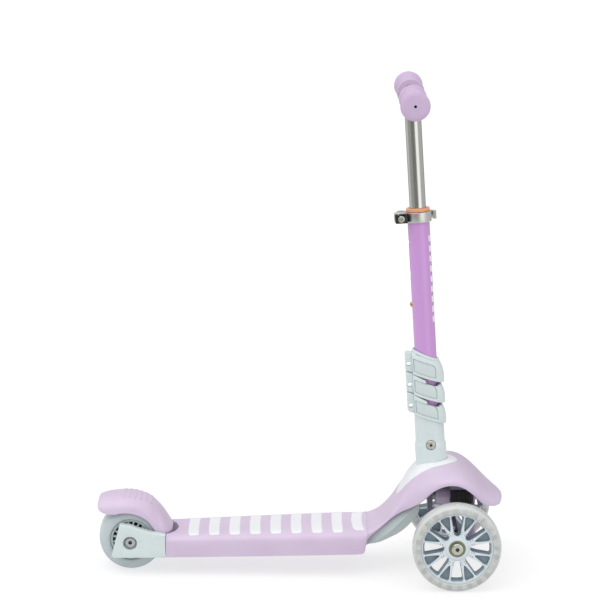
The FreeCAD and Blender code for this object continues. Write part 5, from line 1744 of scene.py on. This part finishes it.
def reflection_screen():
    """Round screen of light and dark strips that only glossy surfaces see, for the metal to mirror."""
    profile = [(SCREEN_LOW, SCREEN_RADIUS), (SCREEN_HIGH, SCREEN_RADIUS)]
    screen = Sheets().add(turned(profile, (0, 0, 0), "z", 128), wrap_rows=True).build("reflection_screen")
    material, tree, shader = new_material("reflection_strips")
    place = split(tree, object_place(tree))
    turn = maths(tree, "ARCTAN2", place["X"], maths(tree, "MULTIPLY", place["Y"], -1.0))
    ramp = tree.nodes.new("ShaderNodeValToRGB")
    tree.links.new(band(tree, turn, -math.pi, math.pi), ramp.inputs["Fac"])
    stops = ramp.color_ramp.elements
    while len(stops) < len(SCREEN_LEVELS):
        stops.new(0.5)
    for stop, (share, level) in zip(stops, SCREEN_LEVELS):
        stop.position = share
        stop.color = (level, level, level, 1.0)
    shader.inputs["Base Color"].default_value = (0.0, 0.0, 0.0, 1.0)
    tree.links.new(ramp.outputs["Color"], shader.inputs["Emission Color"])
    shader.inputs["Emission Strength"].default_value = SCREEN_GAIN
    screen.data.materials.append(material)
    for ray in ("camera", "diffuse", "transmission", "volume_scatter", "shadow"):
        setattr(screen, f"visible_{ray}", False)


def build_stage(scene, look):
    """Floor, reflection screen, world, two suns and the camera."""
    corners_at = [[(x, y, 0) for x in (-FLOOR_HALF, FLOOR_HALF)] for y in (-FLOOR_HALF, FLOOR_HALF)]
    floor = Sheets().add(corners_at).build("floor")
    material, tree, shader = new_material("pale_floor")
    place = object_place(tree)
    tint = mix_color(tree, band(tree, noise(tree, place, 3.0), 0.4, 0.6, 0.0, 0.02),
                     tuple(look.floor) + (1.0,),
                     srgb(152, 152, 154))
    tree.links.new(tint, shader.inputs["Base Color"])
    shader.inputs["Roughness"].default_value = 0.9
    shader.inputs["Specular IOR Level"].default_value = 0.1
    shader.inputs["Emission Color"].default_value = (1.0, 1.0, 1.0, 1.0)
    path = tree.nodes.new("ShaderNodeLightPath")
    glow = band(tree, path.outputs["Is Camera Ray"], 0.0, 1.0, FLOOR_BOUNCE * look.floor_glow,
                look.floor_glow)
    tree.links.new(glow, shader.inputs["Emission Strength"])
    floor.data.materials.append(material)
    reflection_screen()

    world = bpy.data.worlds.new("soft_surround")
    scene.world = world
    world.use_nodes = True
    world.node_tree.nodes["Background"].inputs["Color"].default_value = (1.0, 1.0, 1.0, 1.0)
    world.node_tree.nodes["Background"].inputs["Strength"].default_value = look.sky

    for name, turn, spread_angle, share in SUNS:
        light = bpy.data.lights.new(name, "SUN")
        light.energy, light.angle = look.key * share, math.radians(spread_angle)
        lamp = bpy.data.objects.new(name, light)
        lamp.rotation_euler = turn
        scene.collection.objects.link(lamp)

    camera = bpy.data.objects.new("camera", bpy.data.cameras.new("camera"))
    camera.data.lens, camera.data.sensor_width = look.lens, 36.0
    camera.data.clip_end = 200.0
    camera.location = look.camera_place
    camera.rotation_euler = (math.pi / 2 - look.camera_dip, 0.0, 0.0)
    scene.collection.objects.link(camera)
    scene.camera = camera
    scene.view_settings.view_transform = "Standard"


BUILD_ORDER = (SCOOTER_OT_finishes, SCOOTER_OT_deck, SCOOTER_OT_rear, SCOOTER_OT_front_wheels,
               SCOOTER_OT_truck,
               SCOOTER_OT_stem, SCOOTER_OT_handlebar, SCOOTER_OT_stage)


class SCOOTER_PT_panel(bpy.types.Panel):
    """Sidebar panel with the settings and the building steps in order"""

    bl_label = "Kick scooter"
    bl_idname = "SCOOTER_PT_panel"
    bl_space_type = "VIEW_3D"
    bl_region_type = "UI"
    bl_category = "Scooter"

    def draw(self, context):
        for settings in (context.scene.scooter_look, context.scene.scooter_stage):
            box = self.layout.box()
            for key in type(settings).__annotations__:
                box.prop(settings, key)
        for step in BUILD_ORDER:
            self.layout.operator(step.bl_idname)


CLASSES = (ScooterLook, StageLook, *BUILD_ORDER, SCOOTER_PT_panel)


def register():
    for cls in CLASSES:
        bpy.utils.register_class(cls)
    bpy.types.Scene.scooter_look = bpy.props.PointerProperty(type=ScooterLook)
    bpy.types.Scene.scooter_stage = bpy.props.PointerProperty(type=StageLook)


def unregister():
    del bpy.types.Scene.scooter_stage
    del bpy.types.Scene.scooter_look
    for cls in reversed(CLASSES):
        bpy.utils.unregister_class(cls)


def main():
    register()
    for step in BUILD_ORDER:
        group, name = step.bl_idname.split(".")
        getattr(getattr(bpy.ops, group), name)()


if __name__ == "__main__":
    main()
